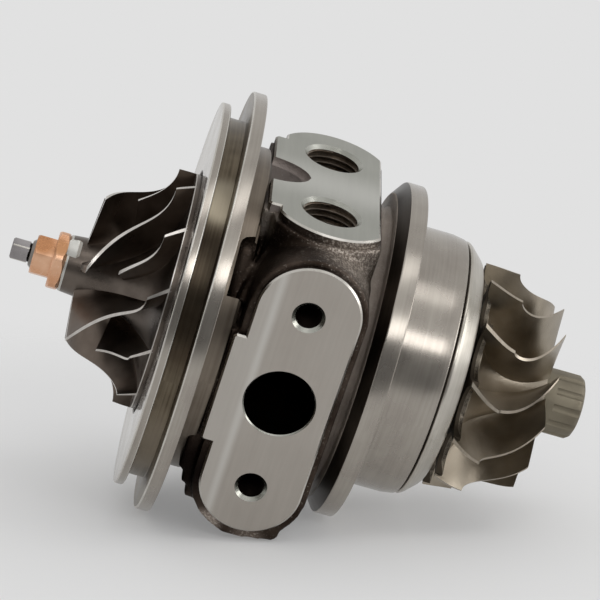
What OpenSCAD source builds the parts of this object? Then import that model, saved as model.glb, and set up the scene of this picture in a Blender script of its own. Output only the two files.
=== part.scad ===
// Turbocharger cartridge: a cast bearing housing with its shaft, two bladed wheels, floating bearings,
// thrust bearing, seals and heat shield. Millimetres. The shaft lies along X, compressor wheel towards -X
// and turbine wheel towards +X. The oil drain flange faces -Y and the port boss faces +Z.
// The origin is on the shaft axis, at the front face of the large compressor rim.

/* [Compressor flange] */
// Outer radius of the large rim that centres the compressor cover
rim_r = 43.1; // [41:0.1:47]
// Thickness of the large rim
rim_t = 2.7; // [2.2:0.1:3.4]
// Outer radius of the thin front rim
front_rim_r = 39.3; // [38:0.1:40.5]
// Thickness of the thin front rim
front_rim_t = 1.7; // [1.2:0.1:2.2]
// Radius of the bottom of the seal groove between the two rims
groove_r = 36.8; // [35.5:0.1:37.6]
// Width of the seal groove
groove_w = 3.6; // [3.2:0.1:4]
// Outer radius of the ledge behind the large rim
ledge_r = 33; // [32.4:0.1:33.3]
// Length of the ledge
ledge_t = 3.8; // [3.2:0.1:4.2]
// Width of the relief groove behind the ledge
relief_w = 0.6; // [0.4:0.1:0.8]
// Depth of the relief groove
relief_d = 1.4; // [1:0.1:1.8]
// Radial room around the rim of the compressor wheel
wheel_gap = 0.8; // [0.5:0.1:1.2]
// Depth of the shallow recess behind the compressor wheel
recess_d = 1.1; // [0.9:0.1:1.2]

/* [Casting] */
// Outer radius of the cast body behind the compressor flange
body_r = 25.5; // [24.5:0.1:27]
// Outer radius of the cast neck in front of the turbine flange
neck_r = 28; // [27:0.1:29.5]
// Distance from the large rim to the plane through the ports and the drain
port_x = 19.3; // [18.6:0.1:20]
// Outer radius of the oil inlet boss at the back
inlet_boss_r = 9; // [8:0.1:10]
// Distance from the shaft axis to the face of the oil inlet boss
inlet_y = 31; // [29.5:0.1:33]
// Radius of the tapped oil inlet
inlet_r = 4.45; // [4:0.05:4.6]
// Depth of the tapped oil inlet
inlet_d = 11; // [9:0.5:12]
// Radius of the oil drillings to the bearings
oil_way_r = 1.5; // [1.2:0.1:1.8]
// Radius of the rounded cast pocket in the ledge, above the drain flange
ledge_pocket_r = 2.3; // [1.8:0.1:2.6]
// Turning position of the lower end of the ledge pocket, from the drain towards the ports
ledge_pocket_from = 30; // [27:1:32]
// Turning position of the upper end of the ledge pocket
ledge_pocket_to = 48; // [45:1:50]
// Radius of the top of the cast wall behind the ledge pocket
pocket_wall_r = 31.6; // [30.5:0.1:32.4]
// Thickness of that wall
pocket_wall_t = 2.2; // [1.8:0.1:2.6]
// Length of that wall
pocket_wall_l = 11; // [9:0.5:12]
// Slant of that wall across the shaft
pocket_wall_slant = 14; // [10:1:18]
// Number of steps of the cast rib below the drain tongue
rib_steps = 3; // [2:1:3]
// Height of the first step of the cast rib
rib_h = 9; // [8:0.5:10]
// Height that each further step adds
rib_step_h = 2.8; // [2.4:0.1:3]
// Shift of each step along the shaft
rib_step_x = 1.3; // [1:0.1:1.6]

/* [Drain flange] */
// Distance from the shaft axis to the drain face
drain_y = 33.35; // [32.5:0.05:34.5]
// Radius of the oil drain
drain_r = 6.75; // [6:0.05:7.2]
// Distance between the two tapped holes
drain_bolt_gap = 38; // [37:0.5:39]
// Radius of the tapped holes
drain_bolt_r = 2.5; // [2.2:0.05:2.7]
// Depth of the tapped holes
drain_bolt_d = 11; // [9:0.5:11.5]
// Radius of the countersink at the mouth of the tapped holes
drain_sink_r = 3.2; // [2.9:0.1:3.6]
// Radius of the rounded ends of the machined drain face
drain_end_r = 10; // [9.4:0.1:10.6]
// Height of the machined pad above the cast flange
drain_pad_t = 1.6; // [1.2:0.1:2.2]
// How far the cast flange stands out past the machined pad
cast_edge = 1.9; // [1.2:0.1:2.4]
// Height of the tongue that joins the drain face to the compressor flange
drain_tongue_h = 23.5; // [20:0.5:26]
// Distance from the shaft axis to the cast foot below the drain flange
foot_z = 31.2; // [30.6:0.1:31.6]
// Width of the cast foot
foot_w = 13; // [11:0.5:14]
// Corner radius of the cast foot
foot_corner_r = 3; // [2:0.1:4]

/* [Port boss] */
// Distance from the shaft axis to the face of the port boss
boss_z = 32.2; // [31.5:0.1:33]
// Length of the port boss across the shaft
boss_l = 49.2; // [47:0.2:51]
// Width of the port boss along the shaft
boss_w = 19.8; // [18.6:0.2:20.6]
// Radius of the rounded ends of the port boss
boss_end_r = 11.6; // [10.6:0.1:12.6]
// Distance between the two ports
port_gap = 26.4; // [25.6:0.1:27]
// Radius of the tapped ports
port_r = 5.35; // [5:0.05:5.6]
// Depth of the tapped ports
port_d = 12.5; // [11:0.5:13]
// Radius of the countersink at the mouth of the ports
port_sink_r = 6.1; // [5.8:0.1:6.5]
// Width of the tongue that joins the boss to the compressor flange
boss_tongue_l = 33.5; // [30:0.5:36]
// Half width of the leaf-shaped scallop in the boss
scallop_r = 5.6; // [4.6:0.1:6.2]
// Length of the leaf-shaped scallop
scallop_l = 11.6; // [10:0.2:12.4]

/* [Coolant jacket] */
// Inner radius of the coolant jacket around the bearings
jacket_ri = 13.5; // [13.2:0.1:14]
// Outer radius of the coolant jacket
jacket_ro = 19.3; // [18.6:0.1:19.8]
// Length of the coolant jacket
jacket_l = 14; // [12:0.5:15]
// Radius of the drillings from the ports to the jacket
jacket_way_r = 4.4; // [4:0.1:4.8]

/* [Turbine flange] */
// Outer radius of the turbine flange
flange_r = 34.4; // [33:0.1:36]
// Distance from the large rim to the clamp cone of the turbine flange
flange_x = 32.6; // [32.2:0.1:33]
// Length of the clamp cone
flange_cone_t = 2; // [1.6:0.1:2.4]
// Height of the clamp cone
flange_cone_h = 3; // [2.4:0.1:3.4]
// Thickness of the cylindrical edge of the flange
flange_edge_t = 3.6; // [3:0.1:4.2]
// Radius of the turned drum behind the flange
drum_r = 26.9; // [26.4:0.1:27.6]
// Length of the turned drum
drum_l = 11; // [10.6:0.1:11.6]
// Length of the tapered end of the drum
drum_taper_l = 2.6; // [1.6:0.1:3]
// Height of the taper
drum_taper_h = 0.4; // [0.3:0.05:0.5]
// Radius of the hub boss inside the heat shield
hub_boss_r = 13.5; // [12.5:0.1:14.5]

/* [Heat shield] */
// Outer radius of the heat shield lip
shield_r = 26.3; // [25.9:0.1:26.6]
// Radius of the shield's front edge
shield_face_r = 23.1; // [22.4:0.1:23.6]
// Height of the shield above the drum
shield_h = 4.2; // [4.1:0.1:4.5]
// Thickness of the shield
shield_t = 0.9; // [0.7:0.1:1]
// Radius of the shield's central hole
shield_hole_r = 9; // [8.8:0.1:9.8]

/* [Compressor wheel] */
// Tip radius of the compressor wheel
comp_r = 24.2; // [23:0.1:25]
// Tip radius of the blades at the inlet
comp_eye_r = 16.6; // [15.4:0.1:17.6]
// Radius of the hub at the inlet
comp_hub_r = 6; // [5.4:0.1:6.6]
// Axial length of the bladed part
comp_l = 17; // [16:0.2:17.6]
// Height of the blades at the outer rim
comp_tip_h = 3.5; // [3:0.1:3.8]
// Thickness of the back disc at the rim
comp_disc_t = 1.3; // [1.1:0.1:1.6]
// Length of the nose in front of the blades
comp_nose_l = 4.4; // [4:0.1:5]
// Number of full blades, with one splitter blade between each two
comp_blades = 6; // [5:1:7]
// Wrap angle of the full blades
comp_wrap = 40; // [36:1:44]
// Further turn of the blades towards the rim
comp_sweep = 15; // [10:1:18]
// Rake of the blades at the rim
comp_rake = 7; // [0:1:10]
// Where along the passage the splitter blades start, from 0 to 1
comp_split = 0.33; // [0.25:0.01:0.4]
// Thickness of the compressor blades at the tip
comp_blade_t = 0.65; // [0.6:0.05:1]
// Turning position of the first full blade
comp_turn = 25.5; // [0:0.5:60]

/* [Turbine wheel] */
// Tip radius of the turbine wheel
turb_r = 23.2; // [22.4:0.1:24]
// Tip radius of the blades at the outlet
turb_eye_r = 19.2; // [18.4:0.1:19.8]
// Radius of the hub at the outlet
turb_hub_r = 6.5; // [6:0.1:7]
// Axial length of the bladed part
turb_l = 18.2; // [17.4:0.2:19]
// Height of the blades at the inlet
turb_tip_h = 6.7; // [6:0.1:7.2]
// Number of turbine blades
turb_blades = 12; // [10:1:12]
// Thickness of the turbine blades at the tip
turb_blade_t = 0.8; // [0.7:0.05:1.1]
// Length by which the blades end before the hub does, at the shroud
turb_cut = 1.1; // [0.6:0.1:1.4]
// Thickness of the scalloped back disc
turb_disc_t = 1.5; // [1.2:0.1:1.8]
// Radius of the scallops between the blades
scoop_r = 5.2; // [4.4:0.1:5.3]
// Radius of the slotted nose
nose_r = 6.6; // [6:0.1:7]
// Length of the slotted nose
nose_l = 8; // [7:0.2:9]
// Radius of the slots around the nose
nose_slot_r = 0.9; // [0.6:0.05:1]
// Turning position of the first slot of the nose
nose_turn = 16.5; // [0:0.5:30]
// Turning position of the first turbine blade
turb_turn = 23.6; // [0:0.2:30]

/* [Shaft] */
// Radius of the shaft inside the wheel and the seal sleeve
stub_r = 3; // [2.6:0.05:3.2]
// Radius of the two bearing journals
journal_r = 4; // [3.6:0.05:4.3]
// Radius of the waist between the journals
waist_r = 3.6; // [3.2:0.05:3.7]
// Width across the flats of the squared shaft tip
tip_w = 4; // [3.4:0.1:4.4]
// Length of the squared shaft tip
tip_l = 4.5; // [3.6:0.1:5.4]
// Radius of the seal boss at the turbine end
seal_boss_r = 8; // [7.8:0.05:8.05]
// Radius of the oil slinger beside the seal boss
slinger_r = 10.5; // [9.8:0.1:11]

/* [Lock nut] */
// Width across the flats of the nut's hexagon
nut_w = 7.6; // [7.2:0.1:8.2]
// Length of the nut's hexagon
nut_hex_l = 3.9; // [3.4:0.1:4.4]
// Width across the flats of the nut's larger collar
nut_collar_w = 11.2; // [10.4:0.1:11.6]
// Length of the nut's collar
nut_collar_l = 2.3; // [2:0.1:2.8]

/* [Bearings] */
// Outer radius of the floating bearings
bush_r = 6.6; // [6.2:0.05:6.9]
// Length of the floating bearings
bush_l = 8; // [7.4:0.1:8]
// Distance between the centres of the two floating bearings
bush_gap = 20; // [19.8:0.1:20.2]
// Radial oil film between the journals and the bearings
film_in = 0.03; // [0.02:0.01:0.05]
// Radial oil film between the bearings and the housing
film_out = 0.05; // [0.03:0.01:0.08]
// Radius of the oil holes in the bearings
bush_hole_r = 1; // [0.7:0.05:1.2]
// Thickness of the retaining rings beside the bearings
keeper_t = 1; // [0.8:0.05:1.1]
// Depth of the retaining ring grooves in the housing
keeper_d = 0.85; // [0.6:0.05:1]
// Radius of the hole in the retaining rings
keeper_ri = 5.6; // [5.2:0.1:5.8]

/* [Thrust bearing] */
// Outer radius of the thrust bearing plate
thrust_r = 18.3; // [17.8:0.1:18.6]
// Thickness of the thrust bearing plate
thrust_t = 3; // [2.6:0.1:3.2]
// Radius of the thrust collar and ring
collar_r = 9.3; // [8.8:0.1:9.6]
// Radius of the thrust sleeve inside the plate
sleeve_r = 6; // [5.6:0.05:6.2]
// Thickness of the thrust collar and ring
collar_t = 2; // [1.8:0.05:2.1]
// Axial clearance of the thrust bearing on each side
thrust_gap = 0.3; // [0.3:0.05:0.4]
// Radius of the two dowel pins of the thrust bearing
dowel_r = 1.25; // [1:0.05:1.5]
// Length of the dowel pins
dowel_l = 5.6; // [5:0.1:6]
// Distance of the dowel pins from the shaft axis
dowel_at = 14.3; // [13.6:0.1:15]

/* [Seals] */
// Radius of the insert in the compressor end of the housing
insert_r = 22; // [21.4:0.1:22.4]
// Thickness of the insert
insert_t = 4.9; // [4.7:0.1:5]
// Radius of the seal sleeve in the insert
sleeve_seal_r = 7; // [6.6:0.05:7.2]
// Radial gap around the seal sleeve and the seal boss
seal_gap = 0.4; // [0.35:0.05:0.5]
// Section radius of the insert's O-ring
o_ring_r = 0.9; // [0.8:0.05:1]
// Width of the piston rings
piston_ring_t = 1; // [0.9:0.05:1.1]
// Radial width of the piston rings
piston_ring_w = 1.2; // [1:0.05:1.3]
// Clearance of the piston rings in their grooves
piston_ring_gap = 0.3; // [0.3:0.05:0.35]
// Thickness of the insert's retaining ring
clip_t = 1.2; // [1:0.05:1.3]
// Radial width of the insert's retaining ring
clip_w = 2.5; // [2.1:0.1:2.8]
// Depth of the insert's retaining ring groove
clip_d = 1.2; // [0.9:0.05:1.4]
// Thickness of the oil deflector
deflector_t = 1; // [0.8:0.05:1.1]
// Radius of the oil deflector's hole
deflector_hole_r = 7.6; // [7.2:0.1:8.2]
// Radius of the slinger on the seal sleeve
thrower_r = 9.8; // [9.2:0.1:10]

/* [Hidden] */
$fn = 96;
eps = 0.02;
slip = 0.02;
edge = 0.5;
edge_break = 0.3;

x_front = -groove_w - front_rim_t;
x_ledge = rim_t + ledge_t;
x_relief = x_ledge + relief_w;
pocket_x = x_ledge - 0.3;
x_recess = x_front + recess_d;
recess_r = comp_r + wheel_gap;

insert_seat = 2.4;
insert_front = insert_seat - insert_t;
o_ring_groove = insert_front + 1.1;
o_ring_groove_w = 2.9 * o_ring_r;
clip_ro = insert_r + clip_d;
clip_slot = 5;
clip_eye_r = 1.7;
clip_eye_hole_r = 0.7;
clip_eye_y = 4.2;
clip_eye_z = clip_w - insert_r - 0.6;
deflector_back = 6;
thrust_back = deflector_back + thrust_t;
ring_front = thrust_back + thrust_gap;
ring_back = ring_front + collar_t;
collar_back = deflector_back - thrust_gap;
collar_front = collar_back - collar_t;
counterbore_r = collar_r + 1;
thrust_oil_r = 0.8;
thrust_oil_at = (sleeve_r + collar_r) / 2;
thrust_slot_w = thrust_r * 0.55;
pocket_r = thrust_r + 0.1;

bore_r = bush_r + film_out;
keeper_r = bore_r + keeper_d;
bush_c = 17.9;
bush_t = bush_c + bush_gap;
keeper_slot = 2.4;
keeper_off = bush_l / 2 + 0.4 + keeper_t / 2;
keeper_c1 = bush_c - keeper_off;
keeper_c2 = bush_c + keeper_off;
keeper_t1 = bush_t - keeper_off;
keeper_t2 = bush_t + keeper_off;

cavity_x = keeper_c2 + keeper_t / 2 + 0.9;
cavity_end = keeper_t1 - keeper_t / 2 - 0.9;
cavity_r = 11;
gallery_r = 5.5;
gallery_y = -15.5;
core_r = body_r - 5.5;
cast_root = jacket_ri + 0.5;
side_edge = cast_edge * 0.6;

x_edge = flange_x + flange_cone_t;
x_flange = x_edge + flange_edge_t;
x_drum = x_flange + drum_l;
x_hub = x_drum + 2;
oil_room_x = keeper_t2 + keeper_t / 2 + 0.5;
oil_room_end = x_hub - 4.4;
oil_room_r = slinger_r + 1.5;
seal_bore_r = seal_boss_r + seal_gap;
ring_at_1 = x_hub - 3.2;
ring_at_2 = x_hub - 1;
ring_groove_w = piston_ring_t + 2 * piston_ring_gap;
ring_groove_deep = piston_ring_w - seal_gap + 0.4;
ring_slot = 0.4;

shield_top = x_drum + shield_h;
x_turb_hub = shield_top + 0.5;
x_turb = x_turb_hub + 0.9;
x_nose = x_turb + turb_l;

comp_back = x_recess - 0.8;
comp_hub_back = comp_back + 0.3;
comp_x = comp_back - comp_disc_t;
comp_eye_x = comp_x - comp_l;
comp_nose_x = comp_eye_x - comp_nose_l + 1;
nut_back = comp_nose_x;
nut_front = nut_back - nut_collar_l - nut_hex_l;
tip_end = nut_front - tip_l;

ring_at_c = insert_front + 1.4;

// Positions of the meridional curves of the two wheels, s from inlet to outlet and t from hub to shroud
function mix(a, b, t) = a + (b - a) * t;
function comp_xy(s, t, sink) = [
    mix(comp_eye_x + comp_l * sin(90 * s) + sink * sin(90 * s),
        comp_eye_x + 1 + (comp_l - comp_tip_h - 1) * sin(90 * s), t),
    mix(comp_r - eps - (comp_r - comp_hub_r) * cos(90 * s) - sink * cos(90 * s),
        comp_r - eps - (comp_r - comp_eye_r) * cos(90 * s), t)];
function comp_angle(s, t) = comp_wrap * (1 - pow(1 - s, 4.2)) + comp_sweep * pow(s, 2.5)
    + comp_rake * (1 - t) * s * s;
// Share by which a slanting blade is wider round the shaft than it is thick
function comp_lean(s, t) = 1 + 1.6 * t * pow(1 - s, 3);
function turb_xy(s, t, sink) = [
    mix(x_turb + edge + (turb_l - edge) * (1 - cos(90 * s)) - sink * cos(90 * s),
        x_turb + turb_tip_h + (turb_l - turb_tip_h - turb_cut) * (1 - cos(90 * s)), t),
    mix(turb_r - (turb_r - turb_hub_r) * sin(90 * s) - sink * sin(90 * s),
        turb_r - (turb_r - turb_eye_r) * sin(90 * s), t)];
function turb_u(x) = (x - x_turb) / turb_l;
function turb_angle(x) = -34 * turb_u(x) + 58 * pow(turb_u(x), 3);

// A point at axial place x and radius r, turned by a from -Y towards +Z
function around(x, r, a) = [x, -r * cos(a), r * sin(a)];
// Half thickness as a turning angle
function half_turn(thick, r) = thick / r * 90 / PI;

// Solid of revolution about the shaft from points [radius, axial place]
module turned(profile) {
    rotate([0, 90, 0])
        rotate_extrude()
            polygon(profile);
}

// Round bar along the shaft
module bar(x0, x1, r) {
    translate([x0, 0, 0])
        rotate([0, 90, 0])
            cylinder(h = x1 - x0, r = r);
}

// Flat ring along the shaft
module ring(x0, x1, ri, ro) {
    difference() {
        bar(x0, x1, ro);
        bar(x0 - 1, x1 + 1, ri);
    }
}

// Ring along the shaft with a slot cut at the bottom
module split_ring(x0, x1, ri, ro, slot) {
    difference() {
        ring(x0, x1, ri, ro);
        translate([x0 - 1, -slot / 2, -ro - 1])
            cube([x1 - x0 + 2, slot, ro - ri + 2]);
    }
}

// Straight drilling between two points of the plane z = 0
module drilling(p, q, r) {
    d = q - p;
    translate([p[0], p[1], 0])
        rotate([0, 90, atan2(d[1], d[0])])
            cylinder(h = norm(d), r = r, $fn = 32);
}

// Blade skin: rows along the passage, columns from hub to shroud, one side after the other
module blade(points, rows, cols) {
    n = rows * cols;
    function at(side, i, j) = side * n + i * cols + j;
    side_a = [for (i = [0 : rows - 2], j = [0 : cols - 2], k = [0, 1])
        k == 0 ? [at(0, i, j), at(0, i + 1, j), at(0, i + 1, j + 1)]
               : [at(0, i, j), at(0, i + 1, j + 1), at(0, i, j + 1)]];
    side_b = [for (i = [0 : rows - 2], j = [0 : cols - 2], k = [0, 1])
        k == 0 ? [at(1, i, j), at(1, i + 1, j + 1), at(1, i + 1, j)]
               : [at(1, i, j), at(1, i, j + 1), at(1, i + 1, j + 1)]];
    long_edges = [for (i = [0 : rows - 2], k = [0 : 3])
        k == 0 ? [at(0, i, 0), at(1, i, 0), at(1, i + 1, 0)]
      : k == 1 ? [at(0, i, 0), at(1, i + 1, 0), at(0, i + 1, 0)]
      : k == 2 ? [at(0, i, cols - 1), at(1, i + 1, cols - 1), at(1, i, cols - 1)]
               : [at(0, i, cols - 1), at(0, i + 1, cols - 1), at(1, i + 1, cols - 1)]];
    end_edges = [for (j = [0 : cols - 2], k = [0 : 3])
        k == 0 ? [at(0, 0, j), at(1, 0, j + 1), at(1, 0, j)]
      : k == 1 ? [at(0, 0, j), at(0, 0, j + 1), at(1, 0, j + 1)]
      : k == 2 ? [at(0, rows - 1, j), at(1, rows - 1, j), at(1, rows - 1, j + 1)]
               : [at(0, rows - 1, j), at(1, rows - 1, j + 1), at(0, rows - 1, j + 1)]];
    polyhedron(points = points, faces = concat(side_a, side_b, long_edges, end_edges), convexity = 4);
}

// One compressor blade from passage place s0 to the rim
module comp_blade(turn, s0, rows) {
    cols = 4;
    points = [for (side = [1, -1], i = [0 : rows - 1], j = [0 : cols - 1])
        let (s = mix(s0, 1, i / (rows - 1)),
             t = j / (cols - 1),
             q = comp_xy(s, t, 0.5),
             thick = comp_blade_t * mix(2, 1, t) * comp_lean(s, t))
        around(q[0], q[1], turn + comp_angle(s, t) + side * half_turn(thick, q[1]))];
    blade(points, rows, cols);
}

// One turbine blade
module turb_blade(turn) {
    rows = 13;
    cols = 5;
    points = [for (side = [1, -1], i = [0 : rows - 1], j = [0 : cols - 1])
        let (s = i / (rows - 1),
             t = j / (cols - 1),
             q = turb_xy(s, t, 0.4),
             thick = turb_blade_t * mix(2.2, 1, t))
        around(q[0], q[1], turn + turb_angle(q[0]) + side * half_turn(thick, q[1]))];
    blade(points, rows, cols);
}

// Outline with straight sides and rounded ends, long side along Y, centred
module stadium(half_l, r, half_w) {
    intersection() {
        union() {
            translate([0, half_l - r])
                circle(r = r);
            translate([0, r - half_l])
                circle(r = r);
            translate([-r, r - half_l])
                square([2 * r, 2 * (half_l - r)]);
        }
        translate([-half_w, -half_l - 1])
            square([2 * half_w, 2 * half_l + 2]);
    }
}

// Drain flange seen from the shaft, its face towards -Y
module drain_block() {
    half = drain_bolt_gap / 2 + drain_end_r;
    translate([port_x, -drain_y, 0])
        rotate([-90, 0, 0]) {
            linear_extrude(drain_y - cast_root)
                stadium(half, drain_end_r, drain_end_r);
            translate([0, 0, drain_pad_t])
                linear_extrude(drain_y - cast_root - drain_pad_t)
                    stadium(half + cast_edge, drain_end_r + side_edge, drain_end_r + side_edge);
        }
    translate([x_relief, -drain_y, -drain_tongue_h / 2])
        cube([port_x - x_relief, drain_y - core_r, drain_tongue_h]);
}

// Rounded cast pocket that breaks the ledge, between the drain flange and the port boss
module ledge_pocket() {
    rotate([-(ledge_pocket_to + 90), 0, 0])
        rotate([0, 90, 0])
            translate([0, 0, pocket_x])
                rotate_extrude(angle = ledge_pocket_to - ledge_pocket_from)
                    translate([ledge_r, 0])
                        circle(r = ledge_pocket_r, $fn = 32);
    translate(around(pocket_x, ledge_r, ledge_pocket_to))
        sphere(r = ledge_pocket_r * 1.03, $fn = 32);
}

// Slanting cast wall with a rounded top behind the ledge pocket
module pocket_wall() {
    top = pocket_wall_r - pocket_wall_t / 2;
    translate([pocket_x + ledge_pocket_r, 0, 0])
        rotate([-(ledge_pocket_from + ledge_pocket_to) / 2, 0, 0])
            rotate([0, pocket_wall_slant, 0]) {
                translate([-pocket_wall_t / 2, -top, -pocket_wall_l / 2])
                    cube([pocket_wall_t, top - core_r, pocket_wall_l]);
                translate([0, -top, -pocket_wall_l / 2])
                    cylinder(h = pocket_wall_l, r = pocket_wall_t / 2, $fn = 48);
            }
}

// Stepped cast rib between the compressor flange and the lower end of the drain flange
module cast_rib() {
    rib_l = 5;
    rib_d = 12;
    rib_sink = 1.7;
    rib_lead = 1.5;
    rib_face = -drain_y + drain_pad_t + rib_sink;
    for (i = [0 : rib_steps - 1], h = rib_h + i * rib_step_h)
        translate([x_ledge - rib_lead + i * rib_step_x, rib_face, -drain_tongue_h / 2 - h])
            cube([rib_l, rib_d, h]);
}

// Flat cast foot that widens the lower end of the drain flange
module cast_foot() {
    foot_h = 8;
    foot_d = 9;
    side = foot_w / 2 - foot_corner_r;
    translate([port_x, -drain_y + drain_pad_t, -foot_z])
        rotate([-90, 0, 0])
            linear_extrude(foot_d)
                union() {
                    for (x = [-side, side])
                        translate([x, -foot_corner_r])
                            circle(r = foot_corner_r, $fn = 48);
                    translate([-side, -foot_h])
                        square([2 * side, foot_h]);
                    translate([-foot_w / 2, -foot_h])
                        square([foot_w, foot_h - foot_corner_r]);
                }
}

// Port boss, its face towards +Z
module port_block() {
    rim = cast_edge * 0.5;
    translate([port_x, 0, cast_root])
        linear_extrude(boss_z - cast_root)
            stadium(boss_l / 2, boss_end_r, boss_w / 2);
    translate([port_x, 0, cast_root - 1])
        linear_extrude(boss_z - cast_root + 1 - drain_pad_t)
            stadium(boss_l / 2 + rim, boss_end_r + rim, boss_w / 2 + rim * 0.8);
    translate([x_relief, -boss_tongue_l / 2, core_r])
        cube([port_x - x_relief, boss_tongue_l, boss_z - core_r]);
}

// Leaf-shaped hollow that opens towards the compressor flange
module leaf_scallop() {
    steps = 8;
    leaf = [for (i = [0 : steps])
        [scallop_r * (1 - pow(i / steps, 2)), i / steps * scallop_l]];
    translate([rim_t + 0.6, 0, boss_z])
        turned(concat([[0, 0]], leaf));
}

// Tapped hole with a countersunk mouth, drawn downwards from its mouth
module tapped(r, depth, sink_r) {
    translate([0, 0, -depth])
        cylinder(h = depth + 1, r = r, $fn = 64);
    translate([0, 0, -depth - r * 0.55])
        cylinder(h = r * 0.55 + eps, r1 = 0.3, r2 = r, $fn = 64);
    translate([0, 0, r - sink_r])
        cylinder(h = sink_r - r + eps, r1 = r, r2 = sink_r + eps, $fn = 64);
}

module housing_outside() {
    turned([
        [0, x_front],
        [front_rim_r - edge_break, x_front],
        [front_rim_r, x_front + edge_break],
        [front_rim_r, -groove_w],
        [groove_r, -groove_w],
        [groove_r, 0],
        [rim_r, 0],
        [rim_r, rim_t - edge_break],
        [rim_r - edge_break, rim_t],
        [ledge_r, rim_t],
        [ledge_r, x_ledge],
        [ledge_r - relief_d, x_ledge],
        [ledge_r - relief_d, x_relief],
        [body_r + 2, x_relief + 0.6],
        [body_r + 0.6, x_relief + 1.6],
        [body_r, x_relief + 3],
        [body_r, port_x + 6],
        [neck_r, port_x + 9.5],
        [neck_r, flange_x - 1],
        [neck_r + 0.6, flange_x],
        [flange_r - flange_cone_h, flange_x],
        [flange_r - 0.2, x_edge],
        [flange_r, x_edge + edge_break],
        [flange_r, x_flange - edge_break],
        [flange_r - edge_break, x_flange],
        [drum_r + edge, x_flange],
        [drum_r, x_flange + edge],
        [drum_r, x_drum - drum_taper_l],
        [drum_r - drum_taper_h, x_drum],
        [hub_boss_r, x_drum],
        [hub_boss_r - 0.4, x_hub],
        [0, x_hub]]);
    drain_block();
    port_block();
    pocket_wall();
    cast_rib();
    cast_foot();
    translate([port_x, inlet_y, 0])
        rotate([90, 0, 0])
            cylinder(h = inlet_y - 15, r = inlet_boss_r);
}

module housing_hollows() {
    // Recess, insert seat, thrust pocket and bearing bore from the compressor end
    bar(x_front - 1, x_recess, recess_r);
    bar(x_recess - 1, insert_seat, insert_r);
    bar(insert_front - clip_t - 0.1, insert_front, clip_ro);
    bar(0, thrust_back, pocket_r);
    bar(0, ring_back + thrust_gap, counterbore_r);
    bar(0, x_hub + 1, bore_r);
    for (x = [keeper_c1, keeper_c2, keeper_t1, keeper_t2])
        bar(x - keeper_t / 2 - 0.1, x + keeper_t / 2 + 0.1, keeper_r);
    // Oil space between the bearings, oil space and seal bore at the turbine end
    bar(cavity_x, cavity_end, cavity_r);
    bar(oil_room_x, oil_room_end, oil_room_r);
    bar(oil_room_x, x_hub + 1, seal_bore_r);
    // Drain gallery below the bearings and the drain itself
    translate([0, gallery_y, 0])
        bar(deflector_back, oil_room_end, gallery_r);
    translate([port_x, -drain_y - 1, 0])
        rotate([-90, 0, 0])
            cylinder(h = drain_y + 1 + gallery_y + 3, r = drain_r);
    // Tapped holes in the drain face, the port boss and the oil inlet
    for (side = [-1, 1])
        translate([port_x, -drain_y, side * drain_bolt_gap / 2])
            rotate([90, 0, 0])
                tapped(drain_bolt_r, drain_bolt_d, drain_sink_r);
    for (side = [-1, 1])
        translate([port_x, side * port_gap / 2, boss_z]) {
            tapped(port_r, port_d, port_sink_r);
            translate([0, 0, -boss_z + jacket_ri - 1.5])
                cylinder(h = boss_z - jacket_ri, r = jacket_way_r);
        }
    translate([port_x, inlet_y, 0])
        rotate([-90, 0, 0])
            tapped(inlet_r, inlet_d, inlet_r + 0.7);
    // Coolant jacket over the bearings
    translate([port_x - jacket_way_r - 0.6, 0, 0])
        rotate([0, 90, 0])
            rotate([0, 0, 122])
                rotate_extrude(angle = 116)
                    translate([jacket_ri, 0])
                        square([jacket_ro - jacket_ri, jacket_l]);
    // Oil drillings to both bearings and the thrust bearing
    feed = [port_x, inlet_y - inlet_d];
    drilling(feed, [port_x, bush_r - 0.5], oil_way_r);
    drilling(feed, [bush_t, bush_r - 0.5], oil_way_r);
    drilling(feed, [thrust_back - 0.2, 12.2], oil_way_r);
    // Dowel holes
    for (side = [-1, 1])
        translate([0, 0, side * dowel_at])
            bar(thrust_back - 1, deflector_back + dowel_l, dowel_r);
    leaf_scallop();
    ledge_pocket();
}

// Cast iron bearing housing with its machined flanges, ports, oil ways and coolant jacket
module bearing_housing() {
    color("#5d564e")
        difference() {
            housing_outside();
            housing_hollows();
        }
}

// Pressed sheet heat shield between the drum and the turbine wheel
module heat_shield() {
    color("#a39c90")
        turned([
            [shield_r - 1.6, x_drum],
            [shield_r - 0.9, x_drum],
            [shield_r, x_drum + 0.5],
            [shield_r, x_drum + 0.9],
            [shield_r - 0.4, x_drum + 1.5],
            [shield_face_r + 0.9, shield_top - 0.7],
            [shield_face_r + 0.4, shield_top - 0.2],
            [shield_face_r - 0.3, shield_top],
            [shield_hole_r, shield_top],
            [shield_hole_r, shield_top - shield_t],
            [shield_face_r - 0.7, shield_top - shield_t],
            [shield_face_r - 0.1, shield_top - shield_t - 0.6],
            [shield_r - 1.6, x_drum + 1.2]]);
}

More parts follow.
